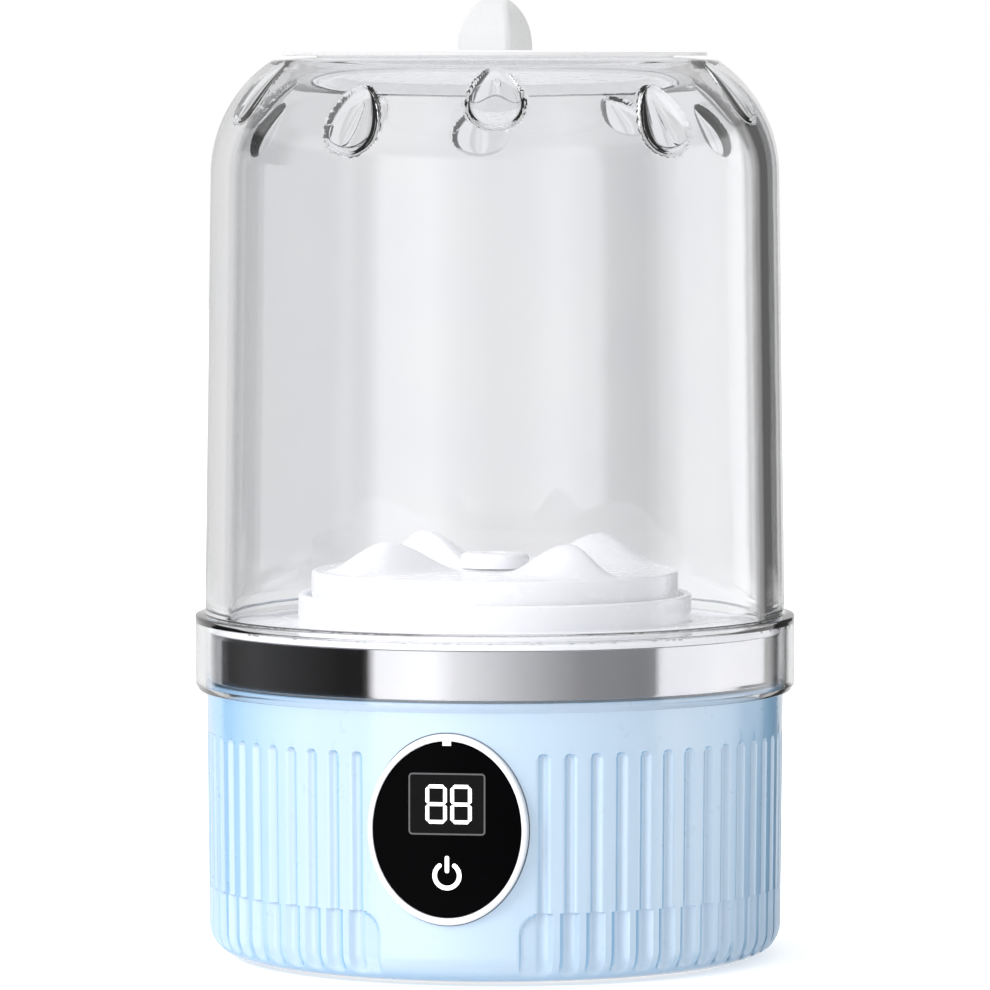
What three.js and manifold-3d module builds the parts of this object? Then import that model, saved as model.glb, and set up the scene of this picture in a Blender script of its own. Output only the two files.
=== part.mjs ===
// Portable mini washer: a clear cup stands upside down on a ribbed base, over a pulsator
// that a geared motor in the base turns. Millimetres, +Z up, the panel faces -Y.
// Heights are measured from the bottom of the base shell; the whole part is then lifted
// by FOOT_STAND, so that its rubber feet stand at z = 0.
import * as THREE from "three";
import { mergeVertices } from "three/addons/utils/BufferGeometryUtils.js";
import Module from "manifold-3d";

const wasm = await Module();
wasm.setup();

// ---- driving dimensions ----
const GAP = 0.3; // air left between neighbouring pieces
const RUN = 0.1; // radial clearance of a shaft in its bush
const FOOT_STAND = 0.6; // how far the feet hold the shell off the table
const ROUND = 48; // facets round a large turned piece
const SMALL = 20; // facets round a small one
const HOLE = 8; // facets round a screw hole
const BEYOND = 60; // past the outside of everything, for the ends of cutting tools

const SHELL = {
  top: 45, r_top: 47.5, r_low: 47.1, wall: 2.2, fillet: 5, mouth: 41.2, lip: 2.7, floor: 6, shelf: 40.5,
};
const GROOVE = {
  count: 68, plain: 6, top: 36.9, ledge: 11.4, step: 0.2, run_out: 0.8, width: 0.36, depth: 0.55,
};
const FLUTE = { width: 0.72, depth: 0.7 };
const BAND = { r: 46.9, wall: 1.6, low: 45.3, high: 53.3 };
const DECK = { r: 45, wall: 1.6, low: 41, floor: 54, edge: 53.3, rim_r: 43.3, rim: 0.5, thick: 2.4 };
const WELL = { r: 32.4, wall: 1.2, top: 59.35 };
const BOSS = { r: 6.5, bore: 4.5, low: 49.2, top: 58.2 };
const CUP = {
  collar_r: 49.4, collar_in: 47.8, low: 43.5, collar_top: 55.8, shelf: 54.6,
  r_low: 47.7, r_high: 46.65, wall: 3.8, shoulder: 128, arc_r: 22.45, top: 147.2, throat: 30.5,
  ceiling: 3,
};
const GASKET = { inner: 43.9, outer: 47 };
const NUB = {
  count: 10, first: 9.3, low_shift: 3.4, low_tilt: 28, high_tilt: 41, width: 9.8, length: 14.2, rise: 2,
};
const LID = { r: 34.9, low: 147.5, high: 148.1, plug_r: 29.2, plug_in: 27.8, plug_low: 144.4 };
const LID_SEAL = { low: 144.8, high: 146.2 };
const FIN = { height: 8.3, length: 12.4, width: 9.1, crown: 0.5, turn: -10.5 };
const DISC = {
  r: 30.2, top: 63.2, thick: 1.8, skirt: 57.2, wall: 1.4, hub_r: 5.65, hub_top: 65.9,
  boss_r: 4.6, boss_low: 58.7, well: 1.2,
};
const HUB_EDGE = 1.1;
const VANE = { count: 4, angle: 43.8, peak_r: 21.3, rise: 5.2, gentle: 31, steep: 13, fullness: 0.6 };
const SHAFT = { r: 2, low: 37.6, top: 60.7, flat: 1.5, thread_low: 54.5 };
const SEAL = { low: 54.3, high: 57.7, lip: 0.15 };
const BUSH_FLANGE = { wide: 1.2, thick: 0.9 };
const GEAR = { module: 0.8, big: 36, small: 12, low: 43, thick: 4.5, slack: 0.2, hub: 4.6, small_hub: 3 };
const MOTOR = { r: 12, low: 8.5, top: 38, shaft_r: 1, nose_r: 3, nose: 1.8, screw_at: 8 };
const BRACKET = { low: 38.4, thick: 2.6, rx: 25, ry: 27, shift: 5, post_r: 3.2 };
const BRACKET_POSTS = [[21, 8], [-21, 8], [0, -19]];
const COVER = { r: 40.9, low: 0.4, high: 2.4, pocket: 1.5, screw_at: 35.5, foot_at: 32, foot_r: 4 };
const FEET = 4;
const COVER_SCREW_AZIMUTHS = [40, 140, 220, 320];
const COVER_POST = { r: 3.4, low: 2.7, high: 12, rib: 1.2, rib_low: 6.2, rib_high: 11.5 };
const EAR = { at: 39.5, low: 37.5, high: 40.5, width: 8, end: 3.4, post_r: 3 };
const EAR_AZIMUTHS = [60, 180, 300];
const CELL = { r: 9, length: 65, y: -12, z: 14, cap_r: 3 };
const HOLDER = { wall: 1.6, wide: 10.7, low: 3.2, high: 16 };
const PANEL = {
  w: 23.9, h: 28.1, rim_x: 0.9, rim_z: 1.25, z: 24.9, front: -47.7, thick: 1.6, back: -42.4, wall: 1.3,
};
const DISPLAY = { w: 13.4, h: 10.8, z: 29, depth: 4.2 };
const KEY = { z: 17.6, r: 2.8, coil_r: 1.7, coil_turns: 3, wire: 0.25 };
const BOARD = { w: 26, low: 10, high: 39.5, front: -41.3, thick: 1.2, screw_at: 9.6, post_r: 1.9 };
const BOARD_SCREW = { r: 0.9, head_r: 1.9, head: 1.1, length: 3.4 };
const PORT = { w: 9, h: 3.3, z: 12, back: 38.4, front: 45.4, wall: 0.35, corner: 1.5, tongue: 0.35 };
const FLAP = { w: 14, h: 7.6, inner: 46, outer: 47, corner: 2, anchor: 1.1, anchor_h: 5.6, swing: 0.7 };
const SCREW = { r: 1.2, head_r: 2.7, head: 1.5, slot: 0.3 };
const PILOT = SCREW.r + GAP;
const LEAD_R = 0.6;
const LEADS = {
  battery_lead_red: [[28, -12, 24.2], [27, -22, 27], [17, -33, 25], [8, -38.8, 21]],
  battery_lead_black: [[-28, -12, 24.2], [-27, -22, 27], [-17, -33, 25], [-8, -38.8, 21]],
  motor_lead_red: [[13, 18, 10], [14, 11, 24], [10, -6, 31], [7, -26, 34], [5, -38.8, 30]],
  motor_lead_black: [[-13, 18, 10], [-14, 11, 24], [-10, -6, 31], [-7, -26, 34], [-5, -38.8, 30]],
  charge_lead: [
    [-9, 37, 12], [-26, 27, 19], [-38, 4, 22], [-33, -18, 31], [-21, -33, 33], [-11, -38.6, 29],
  ],
};
const GEAR_CENTRES = (GEAR.module * (GEAR.big + GEAR.small)) / 2;

const rad = THREE.MathUtils.degToRad;
const deg = THREE.MathUtils.radToDeg;
const v2 = (r, z) => new THREE.Vector2(r, z);
const washer = new THREE.Group();

// ---- materials ----
function finish(color, roughness, metalness = 0, opacity = 1) {
  const made = new THREE.MeshStandardMaterial({ color, roughness, metalness });
  made.opacity = opacity;
  made.transparent = opacity < 1;
  return made;
}

const MATERIAL = {
  blue: finish(0xcfe6f8, 0.4),
  white: finish(0xf4f5f5, 0.25),
  clear: finish(0xeef1f2, 0.05, 0, 0.3),
  chrome: finish(0xd9dadb, 0.08, 1),
  silver: finish(0xe6e7e8, 0.25, 0.2),
  black: finish(0x060607, 0.08),
  rubber: finish(0x3c3f42, 0.8),
  silicone: finish(0xe9edef, 0.5),
  steel: finish(0xb9bcc0, 0.3, 1),
  brass: finish(0xc2a25c, 0.35, 1),
  gear: finish(0xf0ead8, 0.45),
  board: finish(0x1f6b42, 0.5),
  cell: finish(0x3f78b8, 0.35),
  grey: finish(0x8b9096, 0.5),
  red: finish(0xb3261e, 0.5),
  dark: finish(0x1b1c1e, 0.5),
};

// ---- solids ----
function solid(geometry) {
  const bare = geometry.index ? geometry.toNonIndexed() : geometry.clone();
  bare.deleteAttribute("normal");
  bare.deleteAttribute("uv");
  const merged = mergeVertices(bare, 1e-4);
  return new wasm.Manifold(
    new wasm.Mesh({
      numProp: 3,
      vertProperties: new Float32Array(merged.attributes.position.array),
      triVerts: new Uint32Array(merged.index.array),
    }),
  );
}

function geometryOf(made) {
  const { vertProperties, triVerts } = made.getMesh();
  const geometry = new THREE.BufferGeometry();
  geometry.setAttribute("position", new THREE.BufferAttribute(vertProperties, 3));
  geometry.setIndex(new THREE.BufferAttribute(triVerts, 1));
  geometry.computeVertexNormals();
  return geometry;
}

function put(name, shape, material, parent = washer) {
  const geometry = shape.isBufferGeometry ? shape : geometryOf(shape);
  const mesh = new THREE.Mesh(geometry, material);
  mesh.name = name;
  parent.add(mesh);
  return mesh;
}

// A profile of [radius, height] points turned about the Z axis. Azimuth 0 is -Y, 90 is +X.
function turned(profile, facets = ROUND) {
  const points = profile.map(([r, z]) => v2(r, z));
  if (THREE.ShapeUtils.area(points) < 0) points.reverse();
  const onAxis = points[0].x === 0;
  if (!onAxis) points.push(points[0].clone());
  const geometry = new THREE.LatheGeometry(points, facets);
  geometry.rotateX(Math.PI / 2);
  return geometry;
}

// Extra outline points of an arc about [r, z], from one angle to another, in degrees.
function arc(r, z, radius, from, to, steps) {
  return Array.from({ length: steps + 1 }, (_, i) => {
    const a = rad(from + ((to - from) * i) / steps);
    return [r + radius * Math.cos(a), z + radius * Math.sin(a)];
  });
}

function rod(r, low, high, facets = SMALL) {
  return turned([[0, low], [r, low], [r, high], [0, high]], facets);
}

function tube(inner, outer, low, high, facets = ROUND) {
  return turned([[inner, low], [outer, low], [outer, high], [inner, high]], facets);
}

function box(x0, x1, y0, y1, z0, z1) {
  const geometry = new THREE.BoxGeometry(x1 - x0, y1 - y0, z1 - z0);
  geometry.translate((x0 + x1) / 2, (y0 + y1) / 2, (z0 + z1) / 2);
  return geometry;
}

// A flat outline in X and Z, extruded along Y between two depths.
function plateXZ(shape, front, back, facets = 16) {
  const geometry = new THREE.ExtrudeGeometry(shape, {
    depth: back - front,
    bevelEnabled: false,
    curveSegments: facets,
  });
  geometry.rotateX(Math.PI / 2);
  geometry.translate(0, back, 0);
  return geometry;
}

// A flat outline in X and Y, extruded upwards.
function plateXY(shape, low, high, facets = 12) {
  const geometry = new THREE.ExtrudeGeometry(shape, {
    depth: high - low,
    bevelEnabled: false,
    curveSegments: facets,
  });
  geometry.translate(0, 0, low);
  return geometry;
}

function oval(w, h, z) {
  const shape = new THREE.Shape();
  shape.absellipse(0, z, w / 2, h / 2, 0, Math.PI * 2);
  return shape;
}

function roundedRect(w, h, r, z) {
  const shape = new THREE.Shape();
  shape.moveTo(-w / 2 + r, z - h / 2);
  shape.absarc(w / 2 - r, z - h / 2 + r, r, -Math.PI / 2, 0);
  shape.absarc(w / 2 - r, z + h / 2 - r, r, 0, Math.PI / 2);
  shape.absarc(-w / 2 + r, z + h / 2 - r, r, Math.PI / 2, Math.PI);
  shape.absarc(-w / 2 + r, z - h / 2 + r, r, Math.PI, Math.PI * 1.5);
  return shape;
}

// The place at an azimuth and a radius: azimuth 0 is the front, -Y, and 90 is +X.
function around(azimuth, r) {
  return [r * Math.sin(rad(azimuth)), -r * Math.cos(rad(azimuth))];
}

const movedTo = (geometry, [x, y]) => geometry.translate(x, y, 0);
const turnedTo = (geometry, azimuth) => geometry.rotateZ(rad(azimuth));

// ---- base shell ----
const shellRadius = (z) =>
  SHELL.r_low + ((SHELL.r_top - SHELL.r_low) * (z - SHELL.fillet)) / (SHELL.top - SHELL.fillet);

// Whether a groove's place round the shell is one of those left plain round the panel.
function isPlain(place) {
  const fromFront = Math.min(place + 0.5, GROOVE.count - place - 0.5);
  return fromFront < GROOVE.plain / 2;
}

// The outside of the shell: three points per groove (edge, bottom, edge) on every ring.
function ribbedBody() {
  const f = SHELL.fillet;
  const curve = arc(SHELL.r_low - f, f, f, -90, 0, 2);
  const rings = [
    ...curve.map(([r, z], i) => ({ r, z, width: FLUTE.width, depth: (FLUTE.depth * i) / 2 })),
    { z: GROOVE.ledge, width: FLUTE.width, depth: FLUTE.depth },
    { z: GROOVE.ledge + GROOVE.step, width: GROOVE.width, depth: GROOVE.depth },
    { z: GROOVE.top - GROOVE.run_out, width: GROOVE.width, depth: GROOVE.depth },
    { z: GROOVE.top, width: GROOVE.width, depth: 0 },
    { z: SHELL.top, width: GROOVE.width, depth: 0 },
  ];
  const profile = rings.map((ring) => [ring.r ?? shellRadius(ring.z), ring.z]);
  const closed = [[0, 0], ...profile, [0, SHELL.top]];
  const geometry = turned(closed, GROOVE.count * 3);
  const position = geometry.attributes.position;
  const pitch = 360 / GROOVE.count;
  for (let i = 0; i < position.count; i++) {
    const across = Math.floor(i / closed.length) % (GROOVE.count * 3);
    const r = Math.hypot(position.getX(i), position.getY(i));
    const z = position.getZ(i);
    const ring = rings.find((each) => Math.abs(each.z - z) < 1e-3);
    if (!ring || r < 1) continue;
    const place = Math.floor(across / 3);
    const side = (across % 3) - 1;
    const azimuth = (place + 0.5 + (side * ring.width) / 2) * pitch;
    const cut = side === 0 && !isPlain(place) ? ring.depth : 0;
    const [x, y] = around(azimuth, r - cut);
    position.setXY(i, x, y);
  }
  return solid(geometry);
}

function baseShell() {
  const inside = SHELL.r_low - SHELL.wall;
  const top = SHELL.r_top - SHELL.wall;
  const hollow = [
    [0, -1], [SHELL.mouth, -1], [SHELL.mouth, SHELL.lip], [inside, SHELL.floor], [top, SHELL.shelf],
    [top, SHELL.top + 1], [0, SHELL.top + 1],
  ];
  let shell = ribbedBody().subtract(solid(turned(hollow)));
  for (const azimuth of COVER_SCREW_AZIMUTHS) shell = shell.add(coverPost(azimuth));
  for (const azimuth of EAR_AZIMUTHS) shell = shell.add(deckEar(azimuth));
  const opening = bezelSize(GAP);
  const panelHole = plateXZ(oval(opening.w, opening.h, PANEL.z), -BEYOND, -COVER.r);
  shell = shell.subtract(solid(panelHole));
  return cutPort(shell);
}

function coverPost(azimuth) {
  const { r, low, high, rib, rib_low, rib_high } = COVER_POST;
  const place = around(azimuth, COVER.screw_at);
  const wall = SHELL.r_low - SHELL.wall + GAP;
  const post = solid(movedTo(rod(r, low, high, 12), place));
  const web = solid(turnedTo(box(-rib, rib, -wall, -COVER.screw_at, rib_low, rib_high), azimuth));
  const pilot = solid(movedTo(rod(PILOT, low - 1, high - 2, HOLE), place));
  return post.add(web).subtract(pilot);
}

function deckEar(azimuth) {
  const half = EAR.width / 2;
  const root = SHELL.r_top - SHELL.wall + 1;
  const ear = solid(turnedTo(box(-half, half, -root, -EAR.at + EAR.end, EAR.low, EAR.high), azimuth));
  const hole = rod(PILOT, EAR.low - 1, EAR.high + 1, HOLE);
  return ear.subtract(solid(movedTo(hole, around(azimuth, EAR.at))));
}

// The charge port: a slot through the wall, and a flat recess outside it for the flap.
function cutPort(shell) {
  const around = 0.4;
  const outline = roundedRect(PORT.w + 2 * around, PORT.h + 2 * around, PORT.corner + GAP, PORT.z);
  const slot = plateXZ(outline, COVER.r, BEYOND, 6);
  const low = PORT.z - FLAP.h / 2 - GAP;
  const high = PORT.z + FLAP.h / 2 + GAP;
  const left = -FLAP.w / 2 - FLAP.swing - FLAP.anchor - GAP;
  const recess = box(left, FLAP.w / 2 + GAP, FLAP.inner - GAP, BEYOND, low, high);
  return shell.subtract(solid(slot)).subtract(solid(recess));
}

// ---- bottom cover, feet and screws ----
function bottomCover() {
  let cover = solid(rod(COVER.r, COVER.low, COVER.high, 36));
  for (const azimuth of COVER_SCREW_AZIMUTHS) {
    const place = around(azimuth, COVER.screw_at);
    cover = cover.subtract(solid(movedTo(rod(PILOT, -1, COVER.high + 1, HOLE), place)));
    cover = cover.subtract(solid(movedTo(rod(SCREW.head_r + GAP, -1, COVER.pocket, 12), place)));
  }
  for (let i = 0; i < FEET; i++) {
    const place = around((360 / FEET) * i, COVER.foot_at);
    const pocket = movedTo(rod(COVER.foot_r + GAP, -1, COVER.pocket, 16), place);
    cover = cover.subtract(solid(pocket));
  }
  return cover;
}

function foot(azimuth) {
  const r = COVER.foot_r;
  const low = -FOOT_STAND;
  const high = COVER.pocket - GAP;
  const profile = [[0, low], [r - 0.5, low], [r, low + 0.5], [r, high], [0, high]];
  return movedTo(turned(profile, 16), around(azimuth, COVER.foot_at));
}

// A cross-head screw, its head's seat at z = 0 and its shank pointing up.
function screw(length, head = SCREW.head) {
  const { r, head_r, slot } = SCREW;
  const profile = [[0, -head], [head_r, -head], [head_r, 0], [r, 0], [r, length], [0, length]];
  const long = head_r * 0.62;
  const deep = -head * 0.45;
  const made = solid(turned(profile, HOLE));
  const across = solid(box(-long, long, -slot, slot, -head - 1, deep));
  const along = solid(box(-slot, slot, -long, long, -head - 1, deep));
  return made.subtract(across).subtract(along);
}

function placedScrew(name, made, [x, y], z) {
  put(name, made.translate([x, y, z]), MATERIAL.steel);
}

// ---- band and deck ----
function chromeBand() {
  const { r, wall, low, high } = BAND;
  const edge = 0.4;
  const profile = [[r - wall, low], [r, low], [r, high - edge], [r - edge, high], [r - wall, high]];
  return turned(profile, 40);
}

function washDeck() {
  const under = DECK.floor - DECK.thick;
  const profile = [
    [BOSS.bore, BOSS.low], [BOSS.r, BOSS.low], [BOSS.r, under], [DECK.r - DECK.wall, under],
    [DECK.r - DECK.wall, DECK.low], [DECK.r, DECK.low], [DECK.r, DECK.edge],
    [DECK.rim_r, DECK.edge], [DECK.rim_r, DECK.edge + DECK.rim], [WELL.r, DECK.floor + 0.2],
    [WELL.r, WELL.top], [WELL.r - WELL.wall, WELL.top], [WELL.r - WELL.wall, DECK.floor],
    [BOSS.r, DECK.floor], [BOSS.r, BOSS.top], [BOSS.bore, BOSS.top],
  ];
  let deck = solid(turned(profile, 36));
  const addPost = (place, r, low) => {
    deck = deck.add(solid(movedTo(rod(r, low, under + 0.5, 12), place)));
    deck = deck.subtract(solid(movedTo(rod(PILOT, low - 1, under - 2, HOLE), place)));
  };
  for (const place of BRACKET_POSTS) addPost(place, BRACKET.post_r, BRACKET.low + BRACKET.thick + GAP);
  for (const azimuth of EAR_AZIMUTHS) addPost(around(azimuth, EAR.at), EAR.post_r, EAR.high + GAP);
  return deck;
}

// ---- cup ----
const cupRadius = (z) =>
  CUP.r_low + ((CUP.r_high - CUP.r_low) * (z - CUP.collar_top)) / (CUP.shoulder - CUP.collar_top);

// The angle up the shoulder's arc, of a radius, at which it reaches a height.
const shoulderEnd = (radius, height) => deg(Math.asin((height - CUP.shoulder) / radius));

// The length of one degree of an arc.
const degreeLength = (r) => rad(r);

function cupBody() {
  const centre = CUP.r_high - CUP.arc_r;
  const inner = CUP.arc_r - CUP.wall;
  const under = CUP.top - CUP.ceiling;
  const seat = CUP.collar_r;
  const profile = [
    [CUP.collar_in, CUP.low], [seat - 0.8, CUP.low], [seat, CUP.low + 1.2], [seat, CUP.collar_top],
    [cupRadius(CUP.collar_top + 1), CUP.collar_top + 1],
    ...arc(centre, CUP.shoulder, CUP.arc_r, 0, shoulderEnd(CUP.arc_r, CUP.top), 4),
    [CUP.throat, CUP.top], [CUP.throat, under],
    ...arc(centre, CUP.shoulder, inner, shoulderEnd(inner, under), 0, 6),
    [cupRadius(CUP.collar_top) - CUP.wall, CUP.shelf], [CUP.collar_in, CUP.shelf],
  ];
  const geometry = turned(profile, 60);
  const position = geometry.attributes.position;
  const wall = new THREE.Vector3();
  for (let i = 0; i < position.count; i++) {
    wall.fromBufferAttribute(position, i);
    const flat = Math.hypot(wall.x, wall.y);
    const reach = Math.hypot(flat - centre, wall.z - CUP.shoulder);
    if (wall.z < CUP.shoulder || Math.abs(reach - inner) > 0.01) continue;
    const azimuth = deg(Math.atan2(wall.x, -wall.y));
    const left = (inner - nubRise(azimuth, shoulderEnd(inner, wall.z))) / inner;
    const r = (centre + (flat - centre) * left) / flat;
    position.setXYZ(i, wall.x * r, wall.y * r, CUP.shoulder + (wall.z - CUP.shoulder) * left);
  }
  return geometry.rotateZ(rad(NUB.first));
}

// How far a scrubbing nub stands in from the shoulder's inside; every second one sits lower.
// The azimuth is counted from the first nub, and the tilt up the shoulder's arc.
function nubRise(azimuth, tilt) {
  const pitch = 360 / NUB.count;
  const index = Math.round(azimuth / pitch);
  const isLow = index % 2 !== 0;
  const aside = azimuth - index * pitch - (isLow ? NUB.low_shift : 0);
  const above = tilt - (isLow ? NUB.low_tilt : NUB.high_tilt);
  const across = (aside * degreeLength(CUP.r_high - 6)) / (NUB.width / 2);
  const along = (above * degreeLength(CUP.arc_r)) / (NUB.length / 2);
  return NUB.rise * Math.sqrt(Math.max(0, 1 - across * across - along * along));
}

const cupGasket = () => tube(GASKET.inner, GASKET.outer, DECK.edge + GAP, CUP.shelf - GAP, 36);

// ---- lid ----
function lidPlate() {
  const { r, low, high } = LID;
  const profile = [
    [0, low], [LID.plug_in, low], [LID.plug_in, LID.plug_low], [LID.plug_r, LID.plug_low],
    [LID.plug_r, low], [r, low], [r - 0.2, high], [0, high],
  ];
  return turned(profile, 36);
}

// The grip: an upright fin, narrower towards its crown, rounded off from front to back.
function lidGrip() {
  const side = new THREE.Shape();
  side.moveTo(-FIN.length / 2, 0);
  side.lineTo(FIN.length / 2, 0);
  side.absellipse(0, 0, FIN.length / 2, FIN.height, 0, Math.PI);
  const face = new THREE.Shape();
  const half = FIN.width / 2;
  face.moveTo(-half, 0);
  face.lineTo(half, 0);
  const crown = half * FIN.crown;
  face.bezierCurveTo(half, 5, half * 0.82, 7, crown, FIN.height);
  face.lineTo(-crown, FIN.height);
  face.bezierCurveTo(-half * 0.82, 7, -half, 5, -half, 0);
  const long = solid(plateXZ(side, -FIN.width, FIN.width, 20).rotateZ(Math.PI / 2));
  const wide = solid(plateXZ(face, -FIN.length, FIN.length, 8));
  return geometryOf(long.intersect(wide)).translate(0, 0, LID.high + GAP).rotateZ(rad(FIN.turn));
}

function lidSeal() {
  return tube(LID.plug_r + GAP, CUP.throat - GAP, LID_SEAL.low, LID_SEAL.high, 30);
}

// ---- pulsator and its drive ----
const smooth = (t) => 0.5 + 0.5 * Math.cos(Math.PI * Math.min(Math.abs(t), 1));

// How far a vane stands over the disc at a radius and at an angle from +X, in degrees.
function vaneRise(r, angle) {
  const pitch = 360 / VANE.count;
  const ahead = THREE.MathUtils.euclideanModulo(angle - VANE.angle + pitch / 2, pitch) - pitch / 2;
  const across = smooth(ahead > 0 ? ahead / VANE.steep : ahead / VANE.gentle);
  const inner = VANE.peak_r - DISC.hub_r;
  const outer = DISC.r - 0.8 - VANE.peak_r;
  const past = r - VANE.peak_r;
  const along = past < 0 ? smooth(past / inner) : smooth(past / outer) ** VANE.fullness;
  return VANE.rise * across * along;
}

function pulsator() {
  const { r, top, thick, skirt, wall, hub_r, boss_r, boss_low, well } = DISC;
  const surface = [r - 1, 27, 24.2, VANE.peak_r, 18, 14, 10, hub_r, boss_r];
  const profile = [
    [0, boss_low], [boss_r, boss_low], [boss_r, top - thick], [r - wall, top - thick],
    [r - wall, skirt], [r, skirt], [r, top - 0.5], ...surface.map((at) => [at, top]),
    [boss_r, top - well], [0, top - well],
  ];
  const geometry = turned(profile, 40);
  const position = geometry.attributes.position;
  for (let i = 0; i < position.count; i++) {
    const x = position.getX(i);
    const y = position.getY(i);
    const flat = Math.hypot(x, y);
    if (flat < hub_r - 0.1 || Math.abs(position.getZ(i) - top) > 1e-3) continue;
    position.setZ(i, top + vaneRise(flat, deg(Math.atan2(y, x))));
  }
  const socket = shaftSocket(boss_low - 1, SHAFT.top + GAP);
  return solid(geometry).subtract(socket).subtract(solid(rod(PILOT, boss_low - 1, top, 16)));
}

// The socket for the shaft's driving end, which has one flat on its -X side.
function shaftSocket(low, high) {
  const wide = 2 * SHAFT.r;
  const round = solid(rod(SHAFT.r + GAP, low, high));
  return round.intersect(solid(box(-SHAFT.flat - GAP, wide, -wide, wide, low - 1, high + 1)));
}

function outputShaft() {
  const wide = 2 * SHAFT.r;
  const shaft = solid(rod(SHAFT.r, SHAFT.low, SHAFT.top));
  const flat = solid(box(-wide, -SHAFT.flat, -wide, wide, BOSS.top, SHAFT.top + 1));
  const thread = solid(rod(PILOT - 0.1, SHAFT.thread_low, SHAFT.top + 1, 10));
  return shaft.subtract(flat).subtract(thread);
}

function hubCap() {
  const { hub_r: r, hub_top: top } = DISC;
  const low = DISC.top + GAP;
  const profile = [
    [0, low + 0.9], [3.5, low + 0.9], [3.5, low - 0.6], [4.3, low - 0.6], [4.3, low], [r, low],
    ...arc(r - HUB_EDGE, top - HUB_EDGE, HUB_EDGE, 0, 90, 2), [0, top],
  ];
  return turned(profile, SMALL);
}

function pulsatorScrew() {
  const made = screw(7, 1.5).rotate([180, 0, 0]);
  return made.translate([0, 0, DISC.top - DISC.well + GAP]);
}

// A spur gear's outline: straight-flanked teeth, thinned by the slack between the pair.
function gearOutline(teeth, firstTooth) {
  const { module, slack } = GEAR;
  const pitchR = (module * teeth) / 2;
  const half = (Math.PI * module) / 4 - slack;
  const flank = Math.tan(rad(20));
  const levels = [[-1.25, 1], [0.85, 1], [0.85, -1], [-1.25, -1]];
  const shape = new THREE.Shape();
  for (let i = 0; i < teeth; i++) {
    for (const [level, side] of levels) {
      const r = pitchR + level * module;
      const wide = Math.max(half - level * module * flank, 0.2);
      const a = rad(firstTooth + (360 / teeth) * i) - side * Math.atan(wide / r);
      const x = r * Math.cos(a);
      const y = r * Math.sin(a);
      if (i === 0 && side === 1 && level < 0) shape.moveTo(x, y);
      else shape.lineTo(x, y);
    }
  }
  return shape;
}

function spurGear(teeth, firstTooth, bore, hub) {
  const { low, thick } = GEAR;
  const wheel = solid(plateXY(gearOutline(teeth, firstTooth), low, low + thick));
  const collar = solid(rod(hub, low - 0.6, low + thick + 0.8, 16));
  return wheel.add(collar).subtract(solid(rod(bore, low - 2, low + thick + 2, 16)));
}

const driveGear = () => spurGear(GEAR.big, 90, SHAFT.r + GAP, GEAR.hub);

const motorPinion = () =>
  spurGear(GEAR.small, 90 + 180 / GEAR.small, MOTOR.shaft_r + GAP, GEAR.small_hub);

function upperBush() {
  return tube(SHAFT.r + RUN, BOSS.bore - GAP, BOSS.low + 0.2, DECK.floor, SMALL);
}

// The lower bush, whose flange lies on the motor bracket.
function lowerBush() {
  const inner = SHAFT.r + RUN;
  const outer = BOSS.bore - GAP;
  const wide = outer + BUSH_FLANGE.wide;
  const seat = BRACKET.low + BRACKET.thick + GAP;
  const high = seat + BUSH_FLANGE.thick;
  const profile = [
    [inner, BRACKET.low], [outer, BRACKET.low], [outer, seat], [wide, seat], [wide, high], [inner, high],
  ];
  return turned(profile, SMALL);
}

function shaftSeal() {
  const inner = SHAFT.r + SEAL.lip;
  const outer = BOSS.bore - GAP;
  const { low, high } = SEAL;
  const profile = [
    [inner + 0.9, low], [outer, low], [outer, high], [inner + 0.5, high],
    [inner, high - 0.5], [inner + 0.9, low + 1.6],
  ];
  return turned(profile, SMALL);
}

function motorBracket() {
  const outline = new THREE.Shape();
  outline.absellipse(0, BRACKET.shift, BRACKET.rx, BRACKET.ry, 0, Math.PI * 2);
  const high = BRACKET.low + BRACKET.thick;
  let plate = solid(plateXY(outline, BRACKET.low, high, 16));
  const drill = (r, place, facets) => {
    plate = plate.subtract(solid(movedTo(rod(r, BRACKET.low - 1, high + 1, facets), place)));
  };
  drill(BOSS.bore, [0, 0], SMALL);
  drill(MOTOR.nose_r + GAP, [0, GEAR_CENTRES], 16);
  for (const side of [-1, 1]) drill(PILOT, [side * MOTOR.screw_at, GEAR_CENTRES], HOLE);
  for (const place of BRACKET_POSTS) drill(PILOT, place, HOLE);
  return plate;
}

function motorCan() {
  const { r, low, top, shaft_r, nose_r, nose, screw_at } = MOTOR;
  const edge = 0.8;
  const deep = 4;
  const profile = [
    [0, low], [r, low], [r, top - edge], [r - edge, top], [nose_r, top], [nose_r, top + nose],
    [shaft_r + GAP, top + nose], [shaft_r + GAP, top - deep], [0, top - deep],
  ];
  let can = solid(turned(profile, 24));
  for (const side of [-1, 1]) {
    const thread = movedTo(rod(PILOT, top - 3.5, top + 1, HOLE), [side * screw_at, 0]);
    can = can.subtract(solid(thread));
  }
  return can;
}

function motorEndCap() {
  const r = MOTOR.r - 2;
  const low = MOTOR.low - 2;
  const high = MOTOR.low - GAP;
  return turned([[0, low], [r - 1, low], [r, low + 0.8], [r, high], [0, high]], SMALL);
}

function motorShaft() {
  return rod(MOTOR.shaft_r, MOTOR.top - 3.5, GEAR.low + GEAR.thick + 1.5, 16);
}

// ---- battery ----
function batteryCell() {
  const half = CELL.length / 2;
  const profile = [
    [0, -half], [CELL.r - 0.6, -half], [CELL.r, -half + 0.6], [CELL.r, half - 1.6],
    [CELL.r - 0.6, half - 1], [CELL.cap_r, half - 1], [CELL.cap_r, half], [0, half],
  ];
  return turned(profile, SMALL).rotateY(Math.PI / 2).translate(0, CELL.y, CELL.z);
}

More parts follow.
